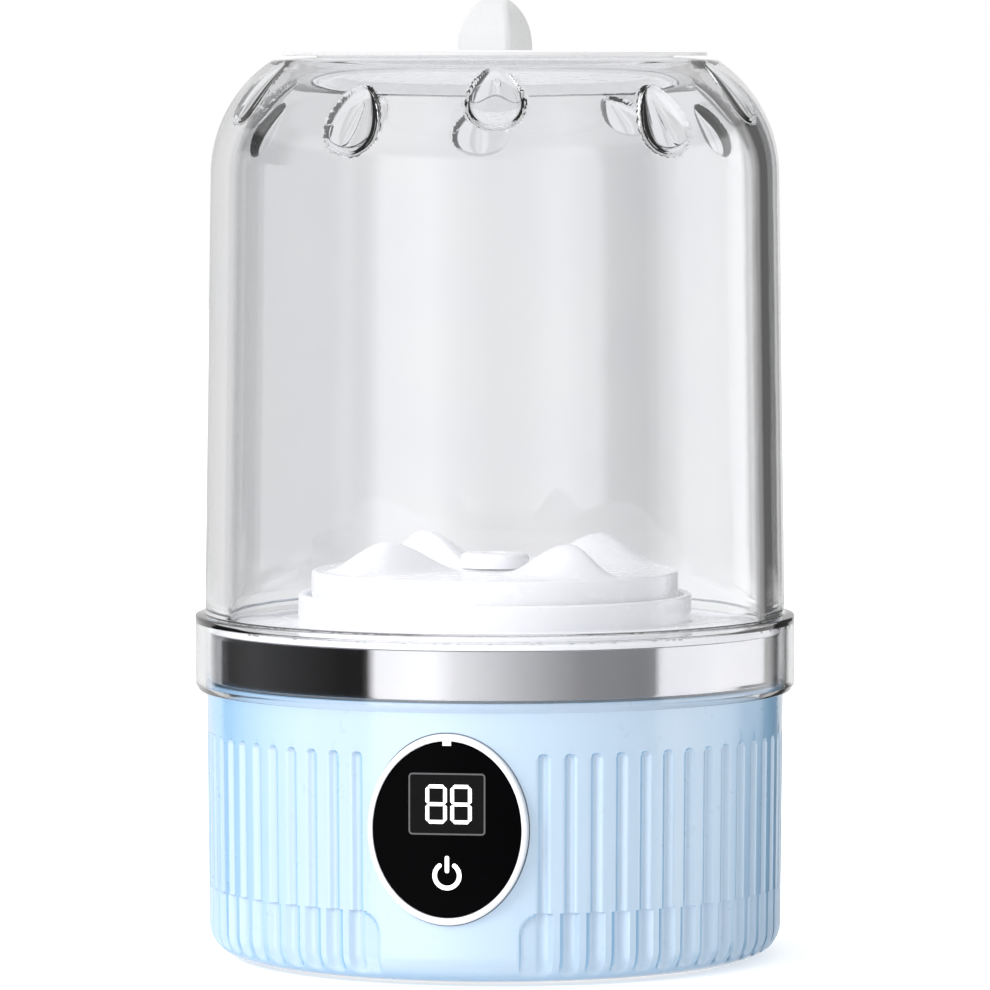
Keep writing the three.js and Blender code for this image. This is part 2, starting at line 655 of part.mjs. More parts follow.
function batteryHolder() {
  const { wall, wide, low, high } = HOLDER;
  const half = CELL.length / 2 + GAP;
  const block = box(-half - wall, half + wall, CELL.y - wide, CELL.y + wide, low, high);
  const nest = rod(CELL.r + GAP, -half, half).rotateY(Math.PI / 2).translate(0, CELL.y, CELL.z);
  return solid(block).subtract(solid(nest));
}

// ---- control panel ----
function bezelSize(extra = 0) {
  return { w: PANEL.w + 2 * (PANEL.rim_x + extra), h: PANEL.h + 2 * (PANEL.rim_z + extra) };
}

function panelBezel() {
  const outer = bezelSize();
  const front = PANEL.front - 0.2;
  const web = PANEL.front + PANEL.thick + GAP;
  const { wall, back, z } = PANEL;
  const through = back + 2;
  const frame = solid(plateXZ(oval(outer.w, outer.h, z), front, back));
  const seat = plateXZ(oval(PANEL.w + 2 * GAP, PANEL.h + 2 * GAP, z), front - 1, web);
  const hollow = plateXZ(oval(outer.w - 2 * wall, outer.h - 2 * wall, z), web + 1, through);
  const half = { w: DISPLAY.w / 2 + GAP, h: DISPLAY.h / 2 + GAP };
  const window = box(-half.w, half.w, front - 1, through, DISPLAY.z - half.h, DISPLAY.z + half.h);
  let bezel = frame.subtract(solid(seat)).subtract(solid(hollow)).subtract(solid(window));
  const key = new THREE.Shape();
  key.absarc(0, KEY.z, KEY.r, 0, Math.PI * 2);
  bezel = bezel.subtract(solid(plateXZ(key, front - 1, through, 8)));
  for (const side of [-1, 1]) bezel = bezel.add(boardBoss(side, web));
  return bezel;
}

// A piece turned about Z, laid along Y beside the panel's middle.
function alongY(geometry, x) {
  return geometry.rotateX(-Math.PI / 2).translate(x, 0, PANEL.z);
}

function boardBoss(side, web) {
  const x = side * BOARD.screw_at;
  const end = BOARD.front - GAP;
  const post = solid(alongY(rod(BOARD.post_r, web + 0.5, end, 12), x));
  return post.subtract(solid(alongY(rod(BOARD_SCREW.r + GAP, web + 1.2, end + 1, HOLE), x)));
}

function panelLens() {
  const { w, h, z, front, thick } = PANEL;
  return plateXZ(oval(w, h, z), front, front + thick);
}

function displayModule() {
  const { w, h, z, depth } = DISPLAY;
  const front = PANEL.front + PANEL.thick + GAP;
  return box(-w / 2, w / 2, front, front + depth, z - h / 2, z + h / 2);
}

function controlBoard() {
  const { w, low, high, front, thick, screw_at } = BOARD;
  let board = solid(box(-w / 2, w / 2, front, front + thick, low, high));
  const chip = box(-3.5, 3.5, front + thick - 0.2, front + thick + 1.1, 18, 25);
  board = board.add(solid(chip));
  for (const side of [-1, 1]) {
    const hole = rod(BOARD_SCREW.r + GAP, front - 1, front + thick + 1, HOLE);
    board = board.subtract(solid(alongY(hole, side * screw_at)));
  }
  return board;
}

function boardScrew(side) {
  const { r, head_r, head, length } = BOARD_SCREW;
  const profile = [[0, -head], [head_r, -head], [head_r, 0], [r, 0], [r, length], [0, length]];
  const made = turned(profile, HOLE).rotateX(Math.PI / 2);
  return made.translate(side * BOARD.screw_at, BOARD.front + BOARD.thick + GAP, PANEL.z);
}

// The coil spring that carries the touch key's contact from the board to the lens.
class Coil extends THREE.Curve {
  getPoint(t, target = new THREE.Vector3()) {
    const { coil_r, coil_turns, z } = KEY;
    const a = t * Math.PI * 2 * coil_turns;
    const front = PANEL.front + PANEL.thick + 0.8;
    const back = BOARD.front - 0.8;
    return target.set(coil_r * Math.cos(a), front + (back - front) * t, z + coil_r * Math.sin(a));
  }
}

function wire(path, r, steps, sides) {
  const section = new THREE.Shape();
  for (let i = 0; i < sides; i++) {
    const a = (Math.PI * 2 * i) / sides;
    if (i) section.lineTo(r * Math.cos(a), r * Math.sin(a));
    else section.moveTo(r, 0);
  }
  return new THREE.ExtrudeGeometry(section, { steps, extrudePath: path, bevelEnabled: false });
}

function lead(points) {
  const path = new THREE.CatmullRomCurve3(points.map(([x, y, z]) => new THREE.Vector3(x, y, z)));
  return wire(path, LEAD_R, 9, 6);
}

// ---- charging ----
function chargeSocket() {
  const { w, h, z, back, front, wall, corner, tongue: half } = PORT;
  const outside = plateXZ(roundedRect(w, h, corner, z), back, front, 3);
  const opening = roundedRect(w - 2 * wall, h - 2 * wall, corner - wall, z);
  const inside = plateXZ(opening, back + 1.2, front + 1, 3);
  const tongue = box(-3.3, 3.3, back + 0.6, front - 1.5, z - half, z + half);
  return solid(outside).subtract(solid(inside)).add(solid(tongue));
}

function chargeBoard() {
  const top = PORT.z - PORT.h / 2 - GAP;
  return box(-8, 8, 32, 43.2, top - 1.2, top);
}

function portFlap() {
  const { w, h, inner, outer } = FLAP;
  const flap = plateXZ(roundedRect(w, h, FLAP.corner, PORT.z), inner, outer, 5);
  const pull = box(w / 2 - 2, w / 2 - 0.8, outer - 0.2, outer + 0.5, PORT.z - 1.6, PORT.z + 1.6);
  return solid(flap).add(solid(pull));
}

function flapAnchor() {
  const { w, inner, anchor, anchor_h, swing } = FLAP;
  const right = -w / 2 - swing;
  const half = anchor_h / 2;
  return box(right - anchor, right, inner, inner + 0.6, PORT.z - half, PORT.z + half);
}

// ---- assembly ----
function addBase() {
  put("base_shell", baseShell(), MATERIAL.blue);
  put("bottom_cover", bottomCover(), MATERIAL.white);
  for (let i = 0; i < FEET; i++) {
    put(`rubber_foot_${i + 1}`, foot((360 / FEET) * i), MATERIAL.rubber);
  }
  COVER_SCREW_AZIMUTHS.forEach((azimuth, i) => {
    const seat = COVER.pocket - GAP;
    placedScrew(`cover_screw_${i + 1}`, screw(7, 0.7), around(azimuth, COVER.screw_at), seat);
  });
  put("chrome_band", chromeBand(), MATERIAL.chrome);
  put("wash_deck", washDeck(), MATERIAL.white);
  EAR_AZIMUTHS.forEach((azimuth, i) => {
    placedScrew(`deck_screw_${i + 1}`, screw(9), around(azimuth, EAR.at), EAR.low - GAP);
  });
  put("cup_gasket", cupGasket(), MATERIAL.silicone);
}

function addPanel() {
  put("panel_bezel", panelBezel(), MATERIAL.silver);
  put("panel_lens", panelLens(), MATERIAL.black);
  put("display_module", displayModule(), MATERIAL.dark);
  put("control_board", controlBoard(), MATERIAL.board);
  put("touch_spring", wire(new Coil(), KEY.wire, 27, 5), MATERIAL.steel);
  put("board_screw_1", boardScrew(-1), MATERIAL.steel);
  put("board_screw_2", boardScrew(1), MATERIAL.steel);
}

function addDrive() {
  put("motor_bracket", motorBracket(), MATERIAL.grey);
  BRACKET_POSTS.forEach((place, i) => {
    placedScrew(`bracket_screw_${i + 1}`, screw(8), place, BRACKET.low - GAP);
  });
  put("lower_bush", lowerBush(), MATERIAL.brass);
  put("upper_bush", upperBush(), MATERIAL.brass);
  put("shaft_seal", shaftSeal(), MATERIAL.rubber);
  put("output_shaft", outputShaft(), MATERIAL.steel);
  put("drive_gear", driveGear(), MATERIAL.gear);
  put("pulsator", pulsator(), MATERIAL.white);
  put("pulsator_screw", pulsatorScrew(), MATERIAL.steel);
  put("hub_cap", hubCap(), MATERIAL.white);

  const motor = new THREE.Group();
  motor.position.y = GEAR_CENTRES;
  washer.add(motor);
  put("motor_can", motorCan(), MATERIAL.steel, motor);
  put("motor_end_cap", motorEndCap(), MATERIAL.dark, motor);
  put("motor_shaft", motorShaft(), MATERIAL.steel, motor);
  put("motor_pinion", motorPinion(), MATERIAL.brass, motor);
  [-1, 1].forEach((side, i) => {
    const made = screw(5.2, 1.3).rotate([180, 0, 0]);
    const z = BRACKET.low + BRACKET.thick + GAP;
    placedScrew(`motor_screw_${i + 1}`, made, [side * MOTOR.screw_at, GEAR_CENTRES], z);
  });
}

function addPower() {
  put("battery_cell", batteryCell(), MATERIAL.cell);
  put("battery_holder", batteryHolder(), MATERIAL.grey);
  put("charge_socket", chargeSocket(), MATERIAL.steel);
  put("charge_board", chargeBoard(), MATERIAL.board);
  put("port_flap", portFlap(), MATERIAL.silicone);
  put("port_flap_anchor", flapAnchor(), MATERIAL.silicone);
  const colours = { red: MATERIAL.red, black: MATERIAL.dark, lead: MATERIAL.red };
  for (const [name, points] of Object.entries(LEADS)) {
    put(name, lead(points), colours[name.split("_").pop()]);
  }
}

function addCup() {
  put("cup", cupBody(), MATERIAL.clear);
  put("lid_plate", lidPlate(), MATERIAL.white);
  put("lid_seal", lidSeal(), MATERIAL.silicone);
  put("lid_grip", lidGrip(), MATERIAL.white);
}

addBase();
addPanel();
addDrive();
addPower();
addCup();
washer.position.z = FOOT_STAND;

export default washer;
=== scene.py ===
"""Looks of the portable mini washer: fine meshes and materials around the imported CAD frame.

Shapes are worked out in millimetres in the frame's own axes (+Z up, the panel faces -Y) and
stored in metres. Heights written as numbers are counted from the bottom of the base shell.
"""

import math

import bmesh
import bpy
import numpy as np
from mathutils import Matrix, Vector


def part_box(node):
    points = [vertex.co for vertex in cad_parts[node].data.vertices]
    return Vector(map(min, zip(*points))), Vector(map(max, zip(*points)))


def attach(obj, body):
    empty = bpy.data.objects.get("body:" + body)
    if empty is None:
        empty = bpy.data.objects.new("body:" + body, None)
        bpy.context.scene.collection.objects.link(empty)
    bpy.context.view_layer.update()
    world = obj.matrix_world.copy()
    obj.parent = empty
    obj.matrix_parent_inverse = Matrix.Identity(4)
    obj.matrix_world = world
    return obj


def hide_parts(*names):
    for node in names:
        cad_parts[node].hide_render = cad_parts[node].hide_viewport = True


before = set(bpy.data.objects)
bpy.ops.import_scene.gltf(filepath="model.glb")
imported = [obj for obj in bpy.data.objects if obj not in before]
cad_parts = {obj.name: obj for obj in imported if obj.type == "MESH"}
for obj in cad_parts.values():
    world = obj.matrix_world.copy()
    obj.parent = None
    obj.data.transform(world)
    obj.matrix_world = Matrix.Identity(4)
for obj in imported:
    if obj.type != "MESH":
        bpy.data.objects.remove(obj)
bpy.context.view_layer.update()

MM = 0.001


def box_mm(node):
    """The lowest and highest corner of a CAD node, in millimetres."""
    low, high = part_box(node)
    return [v / MM for v in low], [v / MM for v in high]


# ---- sizes, in millimetres ----
SHELL_LOW, SHELL_HIGH = (corner[2] for corner in box_mm("base_shell"))
LIFT = SHELL_LOW  # the feet hold the shell this far off the floor
SHELL_R = box_mm("base_shell")[1][0]
SHELL_TAPER = 0.4
SHELL_WALL = 2.2
SHELL_FILLET = 5.0
GROOVE_COUNT = 68
GROOVE_PITCH = 360 / GROOVE_COUNT
GROOVE_PLAIN = 6
GROOVE_TOP = 36.9
GROOVE_HALF = 0.86
GROOVE_DEPTH = 0.75
LEDGE = 11.4
FLUTE_HALF = 1.5
FLUTE_DEPTH = 1.05
FLUTE_REACH = 3.9  # how far the two flutes next to the panel reach towards it
FLUTE_CORNER = 3.6
PANEL_Z = 24.9
ICON_Z = 17.6
CUP_LOW, CUP_HIGH = (corner[2] - LIFT for corner in box_mm("cup"))
COLLAR_R = box_mm("cup")[1][0]
LID_LOW = box_mm("lid_plate")[0][2] - LIFT
LID_HIGH = box_mm("lid_plate")[1][2] - LIFT


# ---- mesh helpers ----
def new_piece(name, verts, faces, material, body, replaced=(), sharp=32):
    """A mesh piece from points in millimetres, smooth but for edges sharper than an angle."""
    mesh = bpy.data.meshes.new(name)
    points = np.array(verts, float) * MM
    mesh.from_pydata(points.tolist(), [], faces)
    mesh.validate()
    obj = bpy.data.objects.new(name, mesh)
    bpy.context.scene.collection.objects.link(obj)
    outward(obj)
    mesh.shade_smooth()
    mesh.set_sharp_from_angle(angle=math.radians(sharp))
    mesh.materials.append(material)
    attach(obj, body)
    if replaced:
        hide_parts(*replaced)
    return obj


def outward(obj):
    """Merges doubled points and turns every face outwards."""
    work = bmesh.new()
    work.from_mesh(obj.data)
    bmesh.ops.remove_doubles(work, verts=work.verts, dist=2e-7)
    bmesh.ops.recalc_face_normals(work, faces=work.faces)
    work.to_mesh(obj.data)
    work.free()


def rounded(corners, steps=4):
    """A closed outline of [a, b, fillet radius] corners, with each fillet as an arc."""
    outline = []
    count = len(corners)
    for i, (a, b, radius) in enumerate(corners):
        here = Vector((a, b))
        before = Vector(corners[i - 1][:2]) - here
        after = Vector(corners[(i + 1) % count][:2]) - here
        if radius <= 0:
            outline.append((a, b))
            continue
        angle = before.angle(after)
        reach = min(radius / math.tan(angle / 2), before.length * 0.49, after.length * 0.49)
        radius = reach * math.tan(angle / 2)
        middle = here + (before.normalized() + after.normalized()).normalized() * (
            radius / math.sin(angle / 2)
        )
        first = here + before.normalized() * reach - middle
        last = here + after.normalized() * reach - middle
        sweep = first.angle_signed(last)
        for k in range(steps + 1):
            turn = -sweep * k / steps
            c, s = math.cos(turn), math.sin(turn)
            outline.append(
                (middle.x + first.x * c - first.y * s, middle.y + first.x * s + first.y * c)
            )
    return outline


def oblong(left, right, middle, half, radius, steps=4):
    """A rectangle with round corners, from left to right and half above and below its middle."""
    return rounded([
        (left, middle - half, radius), (right, middle - half, radius),
        (right, middle + half, radius), (left, middle + half, radius),
    ], steps)


def arc(ca, cb, radius, start, end, steps):
    """Points of an arc about (ca, cb), angles in degrees."""
    angles = np.radians(np.linspace(start, end, steps + 1))
    return [(ca + radius * math.cos(t), cb + radius * math.sin(t)) for t in angles]


def supported(outline, near=0.5, longest=3.0):
    """The same outline with extra points near the ends of its long sides, which keep smooth
    shading from leaking out of the small fillets beside them."""
    made = []
    for i, (a, b) in enumerate(outline):
        made.append((a, b))
        c, d = outline[(i + 1) % len(outline)]
        span = math.hypot(c - a, d - b)
        if span > longest and not (a < 1e-6 and c < 1e-6):
            for share in (near / span, 3 * near / span, 1 - 3 * near / span, 1 - near / span):
                made.append((a + (c - a) * share, b + (d - b) * share))
    return made


def lathe(outline, count, warp=None):
    """Turns a closed outline of (radius, height) about Z. warp(azimuth, r, z) moves a ring point.
    Azimuth 0 is -Y and 90 is +X, in degrees; warp gets arrays and returns new r and z arrays."""
    r = np.array([p[0] for p in outline], float)
    z = np.array([p[1] for p in outline], float)
    azimuth = np.arange(count) * 360.0 / count
    a_grid, r_grid = np.meshgrid(azimuth, r, indexing="ij")
    z_grid = np.tile(z, (count, 1))
    if warp is not None:
        r_grid, z_grid = warp(a_grid, r_grid, z_grid)
    angle = np.radians(a_grid)
    points = np.stack([r_grid * np.sin(angle), -r_grid * np.cos(angle), z_grid + LIFT], -1)
    rows = len(outline)
    faces = []
    for i in range(count):
        here = i * rows
        there = (i + 1) % count * rows
        for j in range(rows):
            k = (j + 1) % rows
            if r[j] < 1e-6 and r[k] < 1e-6:
                continue
            if r[j] < 1e-6:
                faces.append((here + j, here + k, there + k))
            elif r[k] < 1e-6:
                faces.append((here + j, here + k, there + j))
            else:
                faces.append((here + j, here + k, there + k, there + j))
    return points.reshape(-1, 3), faces


def ring_sweep(section, count, place):
    """Sweeps a closed section round a closed path: place(t, a, b) gives a point, t from 0 to 1."""
    rows = len(section)
    points = [place(i / count, a, b) for i in range(count) for a, b in section]
    faces = []
    for i in range(count):
        here = i * rows
        there = (i + 1) % count * rows
        for j in range(rows):
            k = (j + 1) % rows
            faces.append((here + j, here + k, there + k, there + j))
    return points, faces


def slab(outline, front, back, bevel=0.0, steps=3):
    """A flat outline in X and Z (a list of points) made solid between two Y depths."""
    flat = np.array(outline, float)
    middle = flat.mean(0)
    levels = []
    for k in range(steps + 1):
        t = math.radians(90 * k / steps)
        levels.append((bevel * (1 - math.sin(t)), front + bevel * (1 - math.cos(t))))
    levels.append((0.0, back))
    rows = []
    for inset, y in levels:
        size = np.abs(flat - middle).max()
        ring = middle + (flat - middle) * (1 - inset / size)
        rows.append([(x, y, z + LIFT) for x, z in ring])
    count = len(flat)
    points = [p for row in rows for p in row]
    faces = [tuple(range(count))]
    for i in range(len(rows) - 1):
        for j in range(count):
            k = (j + 1) % count
            faces.append((i * count + j, i * count + k, (i + 1) * count + k, (i + 1) * count + j))
    faces.append(tuple(reversed(range((len(rows) - 1) * count, len(rows) * count))))
    return points, faces


def joined(*parts):
    """Several (points, faces) parts as one."""
    points, faces = [], []
    for part_points, part_faces in parts:
        start = len(points)
        points += [tuple(p) for p in part_points]
        faces += [tuple(i + start for i in face) for face in part_faces]
    return points, faces


def cut(obj, *cutters):
    """Cuts closed (points, faces) solids out of a piece."""
    for points, faces in cutters:
        mesh = bpy.data.meshes.new("cutter")
        mesh.from_pydata((np.array(points, float) * MM).tolist(), [], faces)
        tool = bpy.data.objects.new("cutter", mesh)
        bpy.context.scene.collection.objects.link(tool)
        outward(tool)
        modifier = obj.modifiers.new("cut", "BOOLEAN")
        modifier.operation = "DIFFERENCE"
        modifier.solver = "EXACT"
        modifier.object = tool
        depsgraph = bpy.context.evaluated_depsgraph_get()
        made = bpy.data.meshes.new_from_object(obj.evaluated_get(depsgraph))
        obj.modifiers.clear()
        old = obj.data
        obj.data = made
        bpy.data.meshes.remove(old)
        bpy.data.objects.remove(tool)
    obj.data.shade_smooth()
    obj.data.set_sharp_from_angle(angle=math.radians(32))


# ---- material helpers ----
def srgb(red, green, blue):
    """An sRGB colour of 0 to 255 as a linear RGBA tuple."""
    values = [c / 255 for c in (red, green, blue)]
    linear = [c / 12.92 if c <= 0.04045 else ((c + 0.055) / 1.055) ** 2.4 for c in values]
    return (*linear, 1.0)


class Graph:
    """A material's node tree, with short ways to add nodes to it."""

    def __init__(self, name):
        self.material = bpy.data.materials.new(name)
        self.material.use_nodes = True
        self.tree = self.material.node_tree
        self.shader = self.tree.nodes["Principled BSDF"]
        self.output = self.tree.nodes["Material Output"]
        self.position = self.add("ShaderNodeTexCoord").outputs["Object"]

    def add(self, kind, **values):
        node = self.tree.nodes.new(kind)
        for key, value in values.items():
            setattr(node, key, value)
        return node

    def link(self, source, target):
        self.tree.links.new(source, target)

    def noise(self, per_mm, detail=3.0, stretch=(1, 1, 1)):
        """Noise with about per_mm features a millimetre, drawn out along the axes by stretch."""
        scaled = self.add("ShaderNodeMapping")
        scaled.inputs["Scale"].default_value = stretch
        self.link(self.position, scaled.inputs["Vector"])
        node = self.add("ShaderNodeTexNoise")
        node.inputs["Scale"].default_value = per_mm / MM
        node.inputs["Detail"].default_value = detail
        self.link(scaled.outputs["Vector"], node.inputs["Vector"])
        return node.outputs["Fac"]

    def between(self, source, low, high):
        """A value that runs from low to high with the middle half of a 0 to 1 source."""
        node = self.add("ShaderNodeMapRange")
        node.inputs["From Min"].default_value = 0.25
        node.inputs["From Max"].default_value = 0.75
        node.inputs["To Min"].default_value = low
        node.inputs["To Max"].default_value = high
        self.link(source, node.inputs["Value"])
        return node.outputs["Result"]

    def blend(self, source, first, second):
        """A colour that runs from first to second with a 0 to 1 source."""
        node = self.add("ShaderNodeMix", data_type="RGBA")
        for socket in node.inputs:
            if socket.type == "RGBA":
                colour = first if socket.name == "A" else second
                if isinstance(colour, tuple):
                    socket.default_value = colour
                else:
                    self.link(colour, socket)
        self.link(source, node.inputs["Factor"])
        return next(s for s in node.outputs if s.type == "RGBA")

    def bump(self, source, depth, strength=1.0):
        node = self.add("ShaderNodeBump")
        node.inputs["Strength"].default_value = strength
        node.inputs["Distance"].default_value = depth * MM
        self.link(source, node.inputs["Height"])
        self.link(node.outputs["Normal"], self.shader.inputs["Normal"])
        return node

    def set(self, **values):
        for key, value in values.items():
            self.shader.inputs[key.replace("_", " ")].default_value = value


def moulded(name, light, dark, roughness, grain=6.0, depth=0.0006, glow=0.0, edge=None, **constants):
    """A moulded plastic or rubber: faint colour drift, uneven gloss and a fine surface grain.
    A glow is painted light: an even emission that brightens white plastic whatever the lamps do.
    An edge colour is painted shade: a deeper tint mixed in where the surface is seen at a slant."""
    graph = Graph(name)
    colour = graph.blend(graph.between(graph.noise(0.06, 4.0), 0, 1), light, dark)
    if edge:
        # painted shade: the colour turns to the edge tint where the surface is seen at a slant
        slant = graph.between(graph.add("ShaderNodeLayerWeight").outputs["Facing"], 0, 1)
        colour = graph.blend(slant, colour, edge)
    graph.link(colour, graph.shader.inputs["Base Color"])
    gloss = graph.noise(0.35, 5.0)
    low, high = roughness
    graph.link(graph.between(gloss, low, high), graph.shader.inputs["Roughness"])
    graph.bump(graph.noise(grain, 2.0), depth)
    # the emission is painted glow, not a lamp
    graph.set(Emission_Color=(1, 1, 1, 1), Emission_Strength=glow, **constants)
    return graph.material


def metal(name, light, dark, roughness, stretch=(1, 1, 1), grain=9.0, depth=0.002, **constants):
    """A metal with brushing or polishing marks drawn out along the axes by stretch."""
    graph = Graph(name)
    marks = graph.noise(grain, 4.0, stretch)
    graph.link(graph.blend(graph.between(marks, 0, 1), light, dark), graph.shader.inputs["Base Color"])
    low, high = roughness
    graph.link(graph.between(graph.noise(0.4, 4.0), low, high), graph.shader.inputs["Roughness"])
    graph.bump(marks, depth)
    graph.set(Metallic=1.0, **constants)
    return graph.material


def clear_plastic(name):
    """Polished clear plastic, which lets lamps light what is inside it."""
    graph = Graph(name)
    drift = graph.noise(0.05, 2.0)
    graph.link(
        graph.blend(graph.between(drift, 0, 1), srgb(252, 252, 253), srgb(248, 249, 251)),
        graph.shader.inputs["Base Color"],
    )
    graph.link(graph.between(graph.noise(0.3, 3.0), 0.0, 0.02), graph.shader.inputs["Roughness"])
    graph.bump(graph.noise(0.12, 1.0), 0.012)
    graph.set(IOR=1.49)
    graph.shader.inputs["Transmission Weight"].default_value = 1.0
    path = graph.add("ShaderNodeLightPath")
    either = graph.add("ShaderNodeMath", operation="MAXIMUM")
    graph.link(path.outputs["Is Shadow Ray"], either.inputs[0])
    graph.link(path.outputs["Is Diffuse Ray"], either.inputs[1])
    through = graph.add("ShaderNodeBsdfTransparent")
    through.inputs["Color"].default_value = (0.93, 0.93, 0.94, 1)
    mix = graph.add("ShaderNodeMixShader")
    graph.link(either.outputs[0], mix.inputs[0])
    graph.link(graph.shader.outputs["BSDF"], mix.inputs[1])
    graph.link(through.outputs["BSDF"], mix.inputs[2])
    graph.link(mix.outputs["Shader"], graph.output.inputs["Surface"])
    return graph.material


def lit(name, colour, strength):
    """A printed or lit mark under the lens, with a little unevenness in its light."""
    graph = Graph(name)
    uneven = graph.between(graph.noise(1.5, 2.0), 0.0, 1.0)
    dimmer = tuple(c * 0.94 for c in colour[:3]) + (1.0,)
    shade = graph.blend(uneven, colour, dimmer)
    graph.link(shade, graph.shader.inputs["Base Color"])
    graph.link(shade, graph.shader.inputs["Emission Color"])
    graph.link(graph.between(graph.noise(0.5, 2.0), 0.3, 0.4), graph.shader.inputs["Roughness"])
    graph.set(Emission_Strength=strength, Specular_IOR_Level=0.05)
    return graph.material


WHITE = srgb(239, 240, 242)
MATERIAL = {
    "blue_shell": moulded(
        "blue_shell", srgb(189, 210, 230), srgb(185, 208, 229), (0.26, 0.34),
        # edge: painted shade, a deeper blue where the shell is seen at a slant
        edge=srgb(132, 183, 222), Specular_IOR_Level=0.4,
        Coat_Weight=1.0, Coat_Roughness=0.12, Coat_IOR=1.6,
    ),
    # white plastic: glow=0.08 is painted glow, an even emission added on top of the lamps' light
    "white_plastic": moulded(
        "white_plastic", WHITE, srgb(237, 238, 241), (0.22, 0.3), glow=0.08,
        Coat_Weight=0.2, Coat_Roughness=0.1,
    ),
    # the lid's white plastic as a grey that glows: most of its brightness is painted glow, so the lamps
    # shade it only a little
    "lid_white_painted_glow": moulded(
        "lid_white_painted_glow", srgb(152, 153, 155), srgb(149, 150, 152), (0.25, 0.33), glow=0.44,
        Coat_Weight=0.2, Coat_Roughness=0.1,
    ),
    "clear_cup": clear_plastic("clear_cup"),
    "chrome_trim": metal(
        "chrome_trim", srgb(197, 197, 199), srgb(193, 193, 196), (0.02, 0.04), grain=2.0, depth=0.0003,
    ),
    "silver_bezel": moulded(
        "silver_bezel", srgb(240, 240, 243), srgb(234, 235, 239), (0.18, 0.26),
        Metallic=0.15, Coat_Weight=0.4, Coat_Roughness=0.08,
    ),
    "black_lens": moulded(
        "black_lens", srgb(1, 1, 2), srgb(3, 3, 4), (0.05, 0.09), grain=0.5, depth=0.001,
        Specular_IOR_Level=0.02,
    ),
    "dark_plastic": moulded("dark_plastic", srgb(30, 30, 32), srgb(22, 22, 24), (0.4, 0.5)),
    "circuit_board": moulded("circuit_board", srgb(34, 108, 66), srgb(24, 84, 52), (0.35, 0.55), grain=3.0),
    "steel": metal("steel", srgb(196, 198, 201), srgb(168, 170, 174), (0.22, 0.34), (1, 1, 8)),
    "bronze": metal("bronze", srgb(196, 162, 96), srgb(170, 134, 74), (0.3, 0.42)),
    "gear_plastic": moulded("gear_plastic", srgb(240, 234, 216), srgb(232, 224, 202), (0.4, 0.5)),
    "grey_plastic": moulded("grey_plastic", srgb(139, 144, 150), srgb(126, 131, 137), (0.42, 0.54)),
    "cell_wrap": moulded("cell_wrap", srgb(63, 120, 184), srgb(54, 106, 168), (0.25, 0.4)),
    "clear_silicone": moulded(
        "clear_silicone", srgb(248, 249, 250), srgb(243, 244, 246), (0.4, 0.52), IOR=1.41,
    ),
    "black_rubber": moulded("black_rubber", srgb(58, 61, 64), srgb(46, 49, 52), (0.7, 0.85), depth=0.01),
    "red_lead": moulded("red_lead", srgb(178, 40, 32), srgb(156, 32, 26), (0.4, 0.55)),
    "black_lead": moulded("black_lead", srgb(34, 34, 36), srgb(24, 24, 26), (0.4, 0.55)),
}
LIT_WHITE = lit("lit_white", srgb(252, 252, 252), 0.85)
LINE_GREY = lit("line_grey", srgb(96, 96, 97), 0.12)
WINDOW_GREY = lit("window_grey", srgb(17, 17, 18), 0.0)


# ---- base shell ----
def shell_radius(z):
    """The shell's plain outer radius at a height, above its bottom fillet."""
    return SHELL_R - SHELL_TAPER * (1 - (z - SHELL_FILLET) / (45 - SHELL_FILLET))


def bowl(offset, half, depth):
    """The depth of a groove with a round section, at an offset from its middle."""
    radius = (half * half + depth * depth) / (2 * depth)
    inside = np.clip(radius * radius - offset * offset, 0, None)
    return np.clip(np.sqrt(inside) - (radius - depth), 0, depth)


def groove_cut(azimuth, z):
    """How deep the grooves and flutes are cut at a place on the outside of the shell."""
    place = np.floor(azimuth / GROOVE_PITCH)
    middle = (place + 0.5) * GROOVE_PITCH
    along = np.radians(azimuth - middle) * SHELL_R
    from_front = np.minimum(place + 0.5, GROOVE_COUNT - place - 0.5)
    plain = from_front < GROOVE_PLAIN / 2
    cap = GROOVE_TOP - GROOVE_HALF
    past = np.clip(z - cap, 0, None)
    reach = np.sqrt(along**2 + past**2)
    upper = np.where(z > LEDGE - 0.5, bowl(reach, GROOVE_HALF, GROOVE_DEPTH), 0)
    fade = np.clip((z - 0.8) / 1.8, 0, 1)
    fade = fade * fade * (3 - 2 * fade)
    lower = np.where(z < LEDGE, bowl(along, FLUTE_HALF, FLUTE_DEPTH), 0)
    cutting = np.where(plain, 0, np.maximum(upper, lower * fade))
    return np.maximum(cutting, corner_cut(azimuth, z) * fade)


def corner_cut(azimuth, z):
    """The wider flute at each side of the panel: a shallow step with one big rounded corner."""
    first = (GROOVE_PLAIN / 2 + 0.5) * GROOVE_PITCH
    folded = np.minimum(azimuth, 360 - azimuth)
    toward = np.radians(first - folded) * SHELL_R
    corner = FLUTE_REACH - FLUTE_CORNER
    across = np.clip(toward - corner, 0, None)
    up = np.clip(z - (LEDGE - FLUTE_CORNER), 0, None)
    past = np.sqrt(across**2 + up**2) - FLUTE_CORNER
    edge = np.clip(-past / 0.35, 0, 1)
    slope = 0.5 + 0.3 * np.clip(1 - toward / FLUTE_REACH, 0, 1)
    return np.where((toward > -0.4) & (z < LEDGE), edge * slope, 0)


